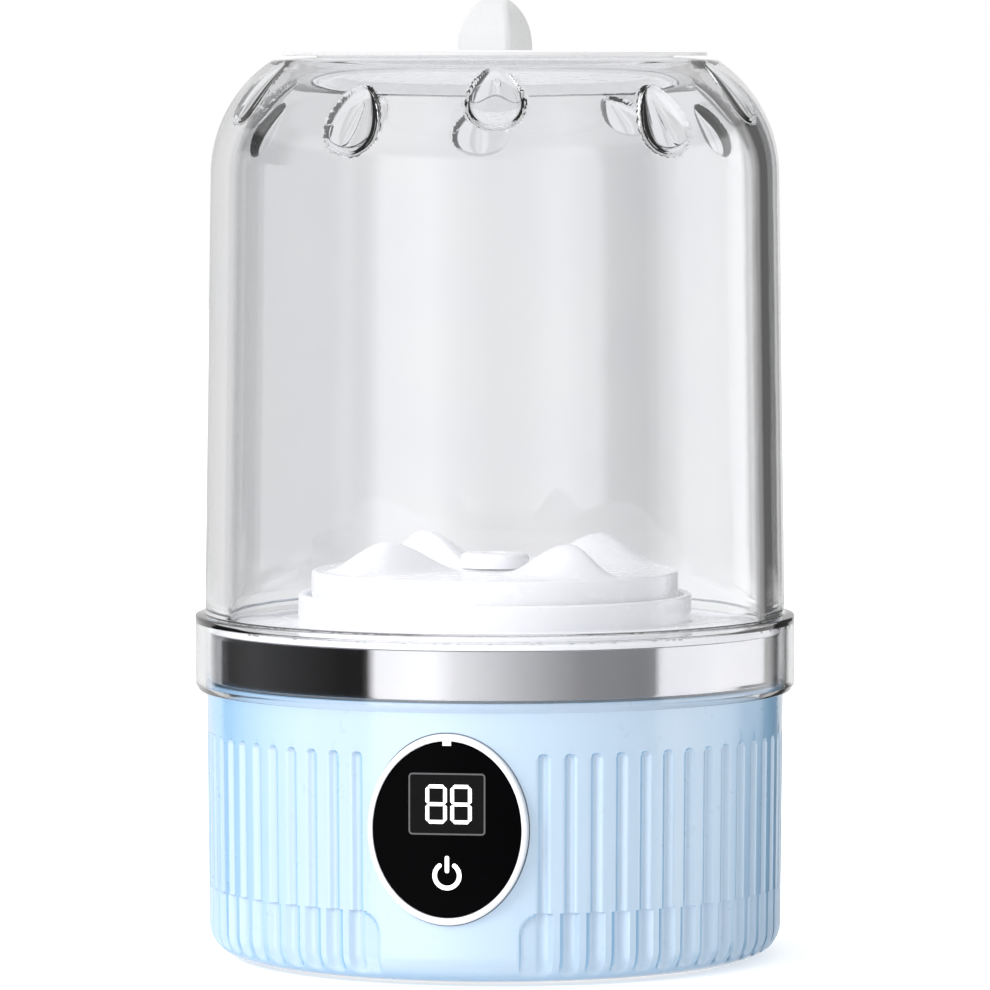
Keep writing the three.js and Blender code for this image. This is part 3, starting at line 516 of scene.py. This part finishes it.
def shell_outline():
    """The shell's closed section: outside from the bottom up, then the inside down again."""
    f = SHELL_FILLET
    low_r = SHELL_R - SHELL_TAPER
    outside = [(low_r - f - 1.5, 0), (low_r - f, 0)]
    outside += arc(low_r - f, f, f, -84, 0, 14)
    heights = np.concatenate([
        np.linspace(f + 0.4, LEDGE - 0.35, 16),
        [LEDGE - 0.12, LEDGE - 0.02, LEDGE + 0.02, LEDGE + 0.3, 15, 20, 25, 30, 34],
        np.linspace(GROOVE_TOP - 1.2, GROOVE_TOP + 0.1, 12),
        [38.5, 42, 44.4],
    ])
    outside += [(shell_radius(z), z) for z in heights]
    outside += arc(shell_radius(44.6) - 0.4, 44.6, 0.4, 0, 90, 3)
    top_r = SHELL_R - SHELL_WALL
    inside = [(top_r + 0.3, 45), (top_r, 44.7), (top_r, 40.5), (low_r - SHELL_WALL, 6), (41.2, 2.7)]
    inside += [(41.2, 0.25)]
    return outside + inside, len(outside)


def grooved_shell():
    outline, outer_count = shell_outline()

    def warp(azimuth, r, z):
        depth = groove_cut(azimuth, z)
        depth[:, outer_count:] = 0
        lean = np.clip((SHELL_FILLET - z) / SHELL_FILLET, 0, 1)
        return r - depth * np.sqrt(1 - lean**2 * 0.8), z

    points, faces = lathe(outline, GROOVE_COUNT * 16, warp)
    shell = new_piece(
        "ribbed_shell", points, faces, MATERIAL["blue_shell"], "base", ("base_shell",)
    )
    hole = ellipse_slab(bezel_half(0.15), -60, -38)
    flap_low, flap_high = box_mm("port_flap")
    anchor_low = box_mm("port_flap_anchor")[0]
    socket_low, socket_high = box_mm("charge_socket")
    middle_z = (flap_low[2] + flap_high[2]) / 2 - LIFT
    half_z = (flap_high[2] - flap_low[2]) / 2 + 0.3
    recess = slab(
        oblong(anchor_low[0] - 0.3, flap_high[0] + 0.3, middle_z, half_z, 1.2), flap_low[1] - 0.3, 60
    )
    slot_half = (socket_high[2] - socket_low[2]) / 2 + 0.4
    slot = slab(oblong(socket_low[0] - 0.4, socket_high[0] + 0.4, middle_z, slot_half, 1.8), 40, 60)
    cut(shell, hole, recess, slot)


# ---- panel ----
def bezel_half(extra=0.0):
    """The two half axes of the bezel's outside, in millimetres."""
    low, high = box_mm("panel_bezel")
    return (high[0] - low[0]) / 2 + extra, (high[2] - low[2]) / 2 + extra


def ellipse_slab(half, front, back, bevel=0.0, count=96):
    turns = np.radians(np.arange(count) * 360 / count)
    outline = [(half[0] * math.cos(t), PANEL_Z + half[1] * math.sin(t)) for t in turns]
    return slab(outline, front, back, bevel)


def panel_pieces():
    lens_low, lens_high = box_mm("panel_lens")
    lens_half = ((lens_high[0] - lens_low[0]) / 2, (lens_high[2] - lens_low[2]) / 2)
    rims = [whole - inner for whole, inner in zip(bezel_half(), lens_half)]
    front = box_mm("panel_bezel")[0][1]

    def place(t, across, depth):
        angle = 2 * math.pi * t
        a, b = lens_half
        x = (a + across * rims[0]) * math.cos(angle)
        z = PANEL_Z + (b + across * rims[1]) * math.sin(angle)
        return (x, depth, z + LIFT)

    section = rounded([
        (0.05, front + 0.1, 0.12), (1, front, 0.4), (1, -42.4, 0), (-0.3, -42.4, 0),
        (-0.3, lens_high[1] + 0.3, 0), (-0.6, lens_high[1] + 0.3, 0), (-0.6, lens_high[1] + 0.05, 0),
        (0.05, lens_high[1] + 0.05, 0),
    ], 5)
    points, faces = ring_sweep(section, 144, place)
    new_piece(
        "bezel_ring", points, faces, MATERIAL["silver_bezel"], "base", ("panel_bezel",)
    )
    tab = [(-0.7, 38.3), (0.7, 38.3), (0.7, 39.3), (-0.7, 39.3)]
    points, faces = slab(tab, front - 0.02, lens_low[1] - 0.01)
    new_piece("bezel_tab", points, faces, MATERIAL["silver_bezel"], "base")
    clear = [half - 0.02 for half in lens_half]
    points, faces = ellipse_slab(clear, lens_low[1], lens_high[1], 0.25)
    new_piece("lens_oval", points, faces, MATERIAL["black_lens"], "base", ("panel_lens",))
    marks(lens_low[1])


def segment(x0, z0, x1, z1, wide):
    """A seven-segment bar with pointed ends between two points."""
    start, end = Vector((x0, z0)), Vector((x1, z1))
    along = (end - start).normalized() * wide / 2
    side = Vector((-along.y, along.x))
    corners = [
        start, start + along + side, end - along + side, end, end - along - side, start + along - side,
    ]
    return [(c.x, c.y) for c in corners]


def digit(left, low, wide, high, stroke):
    """The seven bars of an eight, its corner at (left, low)."""
    right, middle, top = left + wide, low + high / 2, low + high
    s = stroke / 2
    gap = 0.07
    columns = [left + s, right - s]
    rows = [low + s, middle, top - s]
    bars = [segment(columns[0] + gap, z, columns[1] - gap, z, stroke) for z in rows]
    for x in columns:
        bars.append(segment(x, rows[0] + gap, x, rows[1] - gap, stroke))
        bars.append(segment(x, rows[1] + gap, x, rows[2] - gap, stroke))
    return bars


def marks(lens_front):
    """The display window, its two digits and the power symbol, thin and just proud of the lens."""
    back = lens_front - 0.005
    window = rounded([(-6.05, 24.2, 0.5), (6.05, 24.2, 0.5), (6.05, 33.8, 0.5), (-6.05, 33.8, 0.5)])
    points, faces = slab(window, back - 0.02, back)
    new_piece("display_window", points, faces, WINDOW_GREY, "base")

    def line_place(t, across, depth):
        index = t * len(window)
        i = int(index) % len(window)
        here = Vector(window[i])
        before = Vector(window[i - 1])
        after = Vector(window[(i + 1) % len(window)])
        tangent = (after - before).normalized()
        normal = Vector((tangent.y, -tangent.x))
        point = here + normal * across
        return (point.x, depth, point.y + LIFT)

    section = [(-0.13, back - 0.05), (0.13, back - 0.05), (0.13, back - 0.02), (-0.13, back - 0.02)]
    points, faces = ring_sweep(section, len(window), line_place)
    new_piece("display_outline", points, faces, LINE_GREY, "base")
    bars = []
    for left in (-3.45, 0.55):
        bars += digit(left, 25.85, 3.45, 6.25, 0.6)
    parts = [slab(bar, back - 0.07, back - 0.03) for bar in bars]
    points, faces = joined(*parts)
    new_piece("display_digits", points, faces, LIT_WHITE, "base")
    ring, stroke = 1.98, 0.36
    start, end = math.radians(90 + 37), math.radians(90 + 360 - 37)
    outer = [(ring + stroke, t) for t in np.linspace(start, end, 40)]
    inner = [(ring - stroke, t) for t in np.linspace(end, start, 40)]

    def cap(t, sign):
        middle = (ring * math.cos(t), ring * math.sin(t))
        return [
            (
                middle[0] + stroke * math.cos(t + sign * math.radians(a)),
                middle[1] + stroke * math.sin(t + sign * math.radians(a)),
            )
            for a in (30, 60, 90, 120, 150)
        ]

    outline = [(r * math.cos(t), r * math.sin(t)) for r, t in outer]
    outline += cap(end, 1)
    outline += [(r * math.cos(t), r * math.sin(t)) for r, t in inner]
    outline += list(reversed(cap(start, -1)))
    loop = slab([(x, ICON_Z + z) for x, z in outline], back - 0.05, back)
    bar = slab(
        rounded([(-0.34, 18.0, 0.33), (0.34, 18.0, 0.33), (0.34, 20.75, 0.33), (-0.34, 20.75, 0.33)]),
        back - 0.05, back,
    )
    points, faces = joined(loop, bar)
    new_piece("power_symbol", points, faces, LIT_WHITE, "base")


# ---- band, deck and gasket ----
def trim_pieces():
    low, high = (corner[2] - LIFT for corner in box_mm("chrome_band"))
    r = box_mm("chrome_band")[1][1]
    outline = rounded([(r - 1.6, low, 0.2), (r, low, 0.25), (r, high, 0.12), (r - 1.6, high, 0.12)])
    points, faces = lathe(supported(outline), 256)
    new_piece(
        "polished_band", points, faces, MATERIAL["chrome_trim"], "base", ("chrome_band",)
    )
    gasket_low, gasket_high = (corner[2] - LIFT for corner in box_mm("cup_gasket"))
    outer = box_mm("cup_gasket")[1][1]
    outline = rounded([
        (45.1, gasket_low - 0.25, 0.05), (outer, gasket_low - 0.25, 0.1), (outer, gasket_high, 0.3),
        (43.9, gasket_high, 0.1), (43.9, gasket_low, 0.1), (45.1, gasket_low, 0),
    ])
    points, faces = lathe(supported(outline), 192)
    new_piece(
        "sealing_ring", points, faces, MATERIAL["clear_silicone"], "base", ("cup_gasket",)
    )


def deck():
    floor, well_r, well_top = 54.0, 32.4, 59.35
    outline = rounded([
        (4.5, 49.2, 0.2), (6.5, 49.2, 0.3), (6.5, 51.6, 0.6), (43.4, 51.6, 0.4), (43.4, 41, 0.2),
        (45, 41, 0.3), (45, 53.3, 0.35), (43.3, 53.3, 0.1), (43.3, 53.8, 0.3),
        (well_r, floor + 0.2, 0.9), (well_r, well_top, 0.45), (well_r - 1.2, well_top, 0.35),
        (well_r - 1.2, floor, 0.8), (6.5, floor, 0.8), (6.5, 58.2, 0.4), (4.5, 58.2, 0.2),
    ])
    points, faces = lathe(supported(outline), 256)
    new_piece(
        "deck_ring", points, faces, MATERIAL["white_plastic"], "base", ("wash_deck",)
    )


# ---- pulsator ----
DISC_R, DISC_TOP, HUB_R, HUB_TOP = 30.2, 63.2, 5.65, 65.9
VANE = {"count": 4, "angle": 43.8, "peak_r": 21.3, "rise": 5.2, "gentle": 31.0, "steep": 13.0}


def smooth(t):
    """1 at t = 0, falling to 0 at t = -1 and 1 in a smooth wave."""
    return 0.5 + 0.5 * np.cos(np.pi * np.minimum(np.abs(t), 1))


def vane_rise(r, angle):
    """How far a vane stands over the disc at a radius and an angle from +X in degrees."""
    pitch = 360 / VANE["count"]
    ahead = (angle - VANE["angle"] + pitch / 2) % pitch - pitch / 2
    across = smooth(np.where(ahead > 0, ahead / VANE["steep"], ahead / VANE["gentle"]))
    inner = VANE["peak_r"] - HUB_R
    outer = DISC_R - 0.8 - VANE["peak_r"]
    past = r - VANE["peak_r"]
    along = np.where(past < 0, smooth(past / inner), smooth(past / outer) ** 0.6)
    return VANE["rise"] * across * along


def pulsator_pieces():
    surface = [(r, DISC_TOP) for r in np.linspace(DISC_R - 0.8, HUB_R - 0.3, 46)]
    under = DISC_TOP - 1.8
    outline = [(0, 58.7), (4.6, 58.7), (4.6, under), (DISC_R - 1.4, under), (DISC_R - 1.4, 57.2)]
    outline += [(DISC_R - 0.2, 57.2), (DISC_R, 57.4)]
    outline += arc(DISC_R - 0.6, DISC_TOP - 0.6, 0.6, 0, 80, 4) + surface + [(0, DISC_TOP)]

    def warp(azimuth, r, z):
        top = np.abs(z - DISC_TOP) < 1e-6
        return r, np.where(top & (r > HUB_R - 0.35), z + vane_rise(r, azimuth - 90), z)

    points, faces = lathe(outline, 288, warp)
    new_piece(
        "wave_disc", points, faces, MATERIAL["white_plastic"], "pulsator_drive",
        ("pulsator",),
    )
    cap_outline = [(0, DISC_TOP + 0.3), (HUB_R, DISC_TOP + 0.3)]
    cap_outline += arc(HUB_R - 1.1, HUB_TOP - 1.1, 1.1, 0, 90, 6) + [(2.2, HUB_TOP), (2.0, HUB_TOP - 0.15)]
    cap_outline += [(0, HUB_TOP - 0.2)]
    points, faces = lathe(supported(cap_outline), 96)
    new_piece(
        "hub_button", points, faces, MATERIAL["white_plastic"], "pulsator_drive",
        ("hub_cap",),
    )


# ---- cup ----
CUP = {
    "collar_in": 47.8, "collar_top": 55.8, "shelf": 54.6, "r_low": 47.7, "r_high": 46.65,
    "wall": 3.8, "ceiling": 3.0, "shoulder": 128.0, "arc_r": 22.45, "throat": 30.5,
}
NUB = {
    "count": 10, "first": 9.3, "low_shift": 3.4, "low": 28.0, "high": 41.0, "width": 9.8, "length": 14.2,
    "rise": 2.0,
}


def nub_rise(azimuth, tilt):
    """How far a nub stands in from the shoulder's inside: a drop, round below and pointed above."""
    pitch = 360 / NUB["count"]
    index = np.round((azimuth - NUB["first"]) / pitch)
    is_low = index % 2 == 1
    middle = np.where(is_low, NUB["low"], NUB["high"])
    shift = np.where(is_low, NUB["low_shift"], 0)
    radius = CUP["r_high"] - 6
    across = np.radians(azimuth - NUB["first"] - shift - index * pitch) * radius
    along = np.radians(tilt - middle) * CUP["arc_r"]
    share = np.clip(0.5 + along / NUB["length"], 0, 1)
    ends = share * 4 * (1 - share)
    half = NUB["width"] / 2 * np.sqrt(ends) * (1.18 - 0.42 * share)
    inside = np.clip(1 - (across / np.maximum(half, 1e-3)) ** 2, 0, 1)
    return NUB["rise"] * np.sqrt(inside) * ends**0.35


def cup_shell():
    centre = CUP["r_high"] - CUP["arc_r"]
    inner = CUP["arc_r"] - CUP["wall"]
    top = CUP_HIGH
    under = top - CUP["ceiling"]
    outer_end = math.degrees(math.asin((top - CUP["shoulder"]) / CUP["arc_r"]))
    inner_end = math.degrees(math.asin((under - CUP["shoulder"]) / inner))
    r_foot = CUP["r_low"]
    outline = rounded([
        (CUP["collar_in"], CUP_LOW, 0.1), (COLLAR_R - 0.6, CUP_LOW, 0.3), (COLLAR_R, CUP_LOW + 1.1, 0.4),
        (COLLAR_R, CUP["collar_top"], 0.25), (r_foot, CUP["collar_top"] + 0.15, 0.3),
        (r_foot - 0.02, CUP["collar_top"] + 2, 0),
    ])
    outline += arc(centre, CUP["shoulder"], CUP["arc_r"], 0, outer_end - 2, 40)
    outline += [(CUP["throat"] + 0.4, top), (CUP["throat"], top - 0.4), (CUP["throat"], under + 0.3)]
    outline += arc(centre, CUP["shoulder"], inner, inner_end, 0, 90)
    outline += [(r_foot - CUP["wall"], CUP["shelf"] + 0.04), (r_foot - CUP["wall"] + 0.04, CUP["shelf"])]
    outline += [(CUP["collar_in"] - 0.03, CUP["shelf"]), (CUP["collar_in"], CUP["shelf"] - 0.03)]

    def warp(azimuth, r, z):
        flat = r - centre
        reach = np.sqrt(flat**2 + (z - CUP["shoulder"]) ** 2)
        on_arc = (z >= CUP["shoulder"]) & (np.abs(reach - inner) < 0.01)
        tilt = np.degrees(np.arcsin(np.clip((z - CUP["shoulder"]) / inner, 0, 1)))
        share = np.where(on_arc, (inner - nub_rise(azimuth, tilt)) / inner, 1)
        moved_z = np.where(on_arc, CUP["shoulder"] + (z - CUP["shoulder"]) * share, z)
        return np.where(on_arc, centre + flat * share, r), moved_z

    points, faces = lathe(supported(outline), 720, warp)
    new_piece("clear_dome", points, faces, MATERIAL["clear_cup"], "cup", ("cup",), sharp=45)


# ---- lid ----
def lid_pieces():
    r = box_mm("lid_plate")[1][1]
    plate = LID_HIGH - 0.6
    outline = rounded([
        (27.8, plate, 0.3), (27.8, LID_LOW, 0.2), (29.2, LID_LOW, 0.3), (29.2, plate, 0.3),
        (r, plate, 0.2), (r, LID_HIGH, 0.25), (31, LID_HIGH, 0.1), (30.4, LID_HIGH - 0.12, 0.1),
    ])
    outline = [(0, plate)] + outline + [(0, LID_HIGH - 0.12)]
    points, faces = lathe(supported(outline), 192)
    new_piece("lid_disc", points, faces, MATERIAL["lid_white_painted_glow"], "lid", ("lid_plate",))
    low, high = box_mm("lid_seal")
    inner, outer = 29.45, high[1]
    seal_low, seal_high = low[2] - LIFT, high[2] - LIFT
    outline = rounded([
        (inner, seal_low, 0.1), (outer, seal_low, 0.4), (outer, seal_high, 0.4), (inner, seal_high, 0.1),
    ])
    points, faces = lathe(supported(outline), 128)
    new_piece("lid_ring", points, faces, MATERIAL["clear_silicone"], "lid", ("lid_seal",))
    grip()


def grip():
    """The grip: an upright fin, narrower towards its crown, rounded off from front to back."""
    half_long, half_wide, high, turn = 6.2, 4.55, 8.3, math.radians(-10.5)
    base = LID_HIGH + 0.3
    rings = []
    around = 64
    for k in range(33):
        climb = math.radians(88.5) * k / 32
        up = math.sin(climb)
        length = half_long * math.cos(climb)
        wide = half_wide * (1 - 0.5 * up**2.6)
        corner = min(0.9, length * 0.6)
        outline = oblong(-wide, wide, 0, length, corner, around // 4 - 1)
        rings.append([(x, y, base + high * up) for x, y in outline])
    count = len(rings[0])
    points = []
    for ring in rings:
        for x, y, z in ring:
            points.append((
                x * math.cos(turn) - y * math.sin(turn), x * math.sin(turn) + y * math.cos(turn), z + LIFT,
            ))
    faces = [tuple(reversed(range(count))), tuple(range((len(rings) - 1) * count, len(rings) * count))]
    for i in range(len(rings) - 1):
        for j in range(count):
            k = (j + 1) % count
            faces.append((i * count + j, i * count + k, (i + 1) * count + k, (i + 1) * count + j))
    new_piece(
        "lid_fin", points, faces, MATERIAL["lid_white_painted_glow"], "lid", ("lid_grip",), sharp=40
    )


# ---- charge port flap ----
def flap_piece():
    low, high = box_mm("port_flap")
    back, front = low[1], high[1] - 0.5
    middle = (low[2] + high[2]) / 2 - LIFT
    half = (high[2] - low[2]) / 2
    plate = oblong(low[0], high[0], middle, half, 2, 6)
    plate_points, plate_faces = slab(plate, -front, -back, 0.25)
    plate_points = [(x, -y, z) for x, y, z in plate_points]
    pull = oblong(high[0] - 2, high[0] - 0.8, middle, 1.6, 0.5)
    pull_points, pull_faces = slab(pull, -front - 0.5, -front + 0.1, 0.15)
    pull_points = [(x, -y, z) for x, y, z in pull_points]
    points, faces = joined((plate_points, plate_faces), (pull_points, pull_faces))
    new_piece(
        "flap_cover", points, faces, MATERIAL["clear_silicone"], "port_flap",
        ("port_flap",),
    )


# ---- materials of the CAD nodes that stay ----
CAD_SLOT = {
    "bottom_cover": "white_plastic", "rubber_foot": "black_rubber", "cover_screw": "steel",
    "deck_screw": "steel", "display_module": "dark_plastic", "control_board": "circuit_board",
    "touch_spring": "steel", "board_screw": "steel", "motor_bracket": "grey_plastic",
    "bracket_screw": "steel", "lower_bush": "bronze", "upper_bush": "bronze", "shaft_seal": "black_rubber",
    "motor_can": "steel", "motor_end_cap": "dark_plastic", "motor_screw": "steel",
    "battery_cell": "cell_wrap", "battery_holder": "grey_plastic", "charge_socket": "steel",
    "charge_board": "circuit_board", "port_flap_anchor": "clear_silicone", "battery_lead_red": "red_lead",
    "battery_lead_black": "black_lead", "motor_lead_red": "red_lead", "motor_lead_black": "black_lead",
    "charge_lead": "red_lead", "output_shaft": "steel", "drive_gear": "gear_plastic",
    "pulsator_screw": "steel", "motor_shaft": "steel", "motor_pinion": "bronze",
}


def dress_cad():
    for name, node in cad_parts.items():
        if node.hide_render:
            continue
        kind = next(k for k in sorted(CAD_SLOT, key=len, reverse=True) if name.startswith(k))
        node.data.materials.clear()
        node.data.materials.append(MATERIAL[CAD_SLOT[kind]])


# ---- studio ----
CAMERA_DISTANCE = 1.208
CAMERA_HEIGHT = 0.1483
CAMERA_AZIMUTH = 9.2
CAMERA_PITCH = 3.43
CAMERA_LENS = 267.3


def camera():
    data = bpy.data.cameras.new("camera")
    data.lens = CAMERA_LENS
    data.sensor_width = 36
    data.clip_end = 50
    made = bpy.data.objects.new("camera", data)
    bpy.context.scene.collection.objects.link(made)
    turn = math.radians(CAMERA_AZIMUTH)
    made.location = (
        CAMERA_DISTANCE * math.sin(turn), -CAMERA_DISTANCE * math.cos(turn), CAMERA_HEIGHT,
    )
    made.rotation_euler = (math.radians(90 - CAMERA_PITCH), 0, turn)
    bpy.context.scene.camera = made


# Brightness of the studio round the object, by the angle to the right of the camera's side.
STUDIO = [
    (-180, 0.8), (-178.6, 0.92), (-177.4, 0.98), (-176.8, 0.75), (-173, 0.75), (-138, 0.82),
    (-134, 0.12), (-110, 0.1), (-62, 0.03), (-52, 0.03), (-48, 1.75), (-33, 1.9), (-24, 1.95),
    (-15, 1.45), (10, 0.9), (35, 0.48), (60, 0.4), (66, 0.45), (69, 1.55), (100, 1.65), (133, 1.45),
    (136, 0.12), (161.5, 0.12), (164, 0.9), (175.2, 0.88), (175.8, 0.68), (176.9, 0.66),
    (177.6, 0.84), (178.2, 0.88), (179, 0.84), (180, 0.8),
]
# What the collar and the band see, a little below the horizon, and what the base sees under that.
LOW_STUDIO = [(-180, 0.95), (-141, 0.95), (-138, 0.05)]
LOW_STUDIO += [stop for stop in STUDIO if -120 < stop[0] < 140]
LOW_STUDIO += [(153, 0.12), (157, 0.92), (180, 0.95)]
BASE_STUDIO = [stop for stop in LOW_STUDIO if stop[0] <= 100]
BASE_STUDIO += [(110, 1.4), (116, 0.12), (160, 0.12), (165, 0.92), (180, 0.95)]
# What lights the matt side of things: bright in front and on the left, dim on the right.
SOFT_STUDIO = [
    (-180, 0.7), (-115, 1.7), (-80, 1.75), (-35, 1.2), (20, 0.95), (60, 0.45), (120, 0.2), (180, 0.6),
]
UNDER, OVER = 0.85, 0.62  # the studio's floor and ceiling
# Where one part of the studio gives way to the next, by the upward share of a direction.
UNDER_EDGE = (-0.55, -0.4)
BASE_EDGE = (-0.1, -0.094)
BAND_EDGE = (-0.074, -0.066)
OVER_EDGE = (0.27, 0.33)
# A straight look through both walls of the cup gets this even brightness instead, wherever
# the studio lies within this angle of the camera's side.
BEHIND = 0.82
BEHIND_REACH = 125
FLOOR_GLOW = (0.12, 0.5)  # what the floor gives the object, and what the camera sees of it


def studio():
    world = bpy.data.worlds.new("studio")
    bpy.context.scene.world = world
    world.use_nodes = True
    tree = world.node_tree
    nodes, links = tree.nodes, tree.links
    nodes.clear()

    def math_node(operation, *inputs):
        node = nodes.new("ShaderNodeMath")
        node.operation = operation
        for i, value in enumerate(inputs):
            if isinstance(value, (int, float)):
                node.inputs[i].default_value = value
            else:
                links.new(value, node.inputs[i])
        return node.outputs[0]

    direction = nodes.new("ShaderNodeTexCoord").outputs["Generated"]
    turned = nodes.new("ShaderNodeVectorRotate")
    turned.rotation_type = "Z_AXIS"
    turned.inputs["Angle"].default_value = -math.radians(CAMERA_AZIMUTH)
    links.new(direction, turned.inputs["Vector"])
    split = nodes.new("ShaderNodeSeparateXYZ")
    links.new(turned.outputs["Vector"], split.inputs["Vector"])
    x, y, z = (split.outputs[axis] for axis in "XYZ")
    angle = math_node("ARCTAN2", x, math_node("MULTIPLY", y, -1.0))
    share = math_node("ADD", math_node("DIVIDE", angle, 2 * math.pi), 0.5)

    def brightness(stops):
        ramp = nodes.new("ShaderNodeValToRGB")
        ramp.color_ramp.interpolation = "LINEAR"
        brightest = max(value for _, value in stops)
        elements = ramp.color_ramp.elements
        while len(elements) > 1:
            elements.remove(elements[0])
        for i, (degrees, value) in enumerate(stops):
            element = elements[0] if i == 0 else elements.new((degrees + 180) / 360)
            element.position = (degrees + 180) / 360
            element.color = (value / brightest,) * 3 + (1,)
        links.new(share, ramp.inputs["Fac"])
        return math_node("MULTIPLY", ramp.outputs["Color"], brightest)

    def step(edge):
        node = nodes.new("ShaderNodeMapRange")
        node.interpolation_type = "SMOOTHSTEP"
        node.inputs["From Min"].default_value = edge[0]
        node.inputs["From Max"].default_value = edge[1]
        links.new(z, node.inputs["Value"])
        return node.outputs["Result"]

    def mix(factor, first, second):
        node = nodes.new("ShaderNodeMix")
        links.new(factor, node.inputs["Factor"])
        for i, value in ((2, first), (3, second)):
            if isinstance(value, (int, float)):
                node.inputs[i].default_value = value
            else:
                links.new(value, node.inputs[i])
        return node.outputs[0]

    below = mix(step(BASE_EDGE), brightness(BASE_STUDIO), brightness(LOW_STUDIO))
    around = mix(step(BAND_EDGE), below, brightness(STUDIO))
    whole = mix(step(OVER_EDGE), mix(step(UNDER_EDGE), UNDER, around), OVER)
    path = nodes.new("ShaderNodeLightPath")
    lighting = mix(path.outputs["Is Diffuse Ray"], whole, brightness(SOFT_STUDIO))
    turned_back = math_node("SUBTRACT", path.outputs["Ray Depth"], path.outputs["Transmission Depth"])
    straight = math_node("LESS_THAN", turned_back, 1.5)
    through = math_node("GREATER_THAN", path.outputs["Transmission Depth"], 3.5)
    beside = math_node("LESS_THAN", math_node("ABSOLUTE", angle), math.radians(BEHIND_REACH))
    clear = math_node("MULTIPLY", math_node("MULTIPLY", straight, through), beside)
    behind = mix(clear, lighting, BEHIND)
    seen = mix(path.outputs["Is Camera Ray"], behind, 1.0)
    background = nodes.new("ShaderNodeBackground")
    links.new(seen, background.inputs["Color"])
    background.inputs["Strength"].default_value = 1.0
    output = nodes.new("ShaderNodeOutputWorld")
    links.new(background.outputs["Background"], output.inputs["Surface"])


def lamp(name, azimuth, elevation, distance, size, power):
    data = bpy.data.lights.new(name, "AREA")
    data.shape = "DISK"
    data.size = size
    data.energy = power
    made = bpy.data.objects.new(name, data)
    bpy.context.scene.collection.objects.link(made)
    a, e = math.radians(azimuth), math.radians(elevation)
    aim = Vector((0, 0, 0.075))
    made.location = aim + distance * Vector((
        math.sin(a) * math.cos(e), -math.cos(a) * math.cos(e), math.sin(e),
    ))
    made.rotation_euler = (aim - made.location).to_track_quat("-Z", "Y").to_euler()
    made.visible_glossy = False
    made.visible_transmission = False
    made.visible_camera = False


def floor():
    size = 3.0
    mesh = bpy.data.meshes.new("floor")
    mesh.from_pydata(
        [(-size, -size, 0), (size, -size, 0), (size, size, 0), (-size, size, 0)], [], [(0, 1, 2, 3)]
    )
    made = bpy.data.objects.new("floor", mesh)
    bpy.context.scene.collection.objects.link(made)
    graph = Graph("floor")
    graph.link(
        graph.blend(graph.noise(0.01, 2.0), srgb(250, 250, 250), srgb(247, 247, 247)),
        graph.shader.inputs["Base Color"],
    )
    graph.set(Roughness=0.9, Specular_IOR_Level=0.0)
    graph.shader.inputs["Emission Color"].default_value = (1, 1, 1, 1)
    path = graph.add("ShaderNodeLightPath")
    glow = graph.between(path.outputs["Is Camera Ray"], *FLOOR_GLOW)
    graph.link(glow, graph.shader.inputs["Emission Strength"])
    mesh.materials.append(graph.material)
    made.visible_glossy = False
    made.visible_transmission = False


grooved_shell()
panel_pieces()
trim_pieces()
deck()
pulsator_pieces()
cup_shell()
lid_pieces()
flap_piece()
dress_cad()
camera()
studio()
lamp("key", azimuth=-38, elevation=34, distance=1.4, size=0.6, power=8.8)
lamp("fill", azimuth=10, elevation=70, distance=1.6, size=0.9, power=1.1)
floor()
bpy.context.scene.view_settings.view_transform = "Standard"
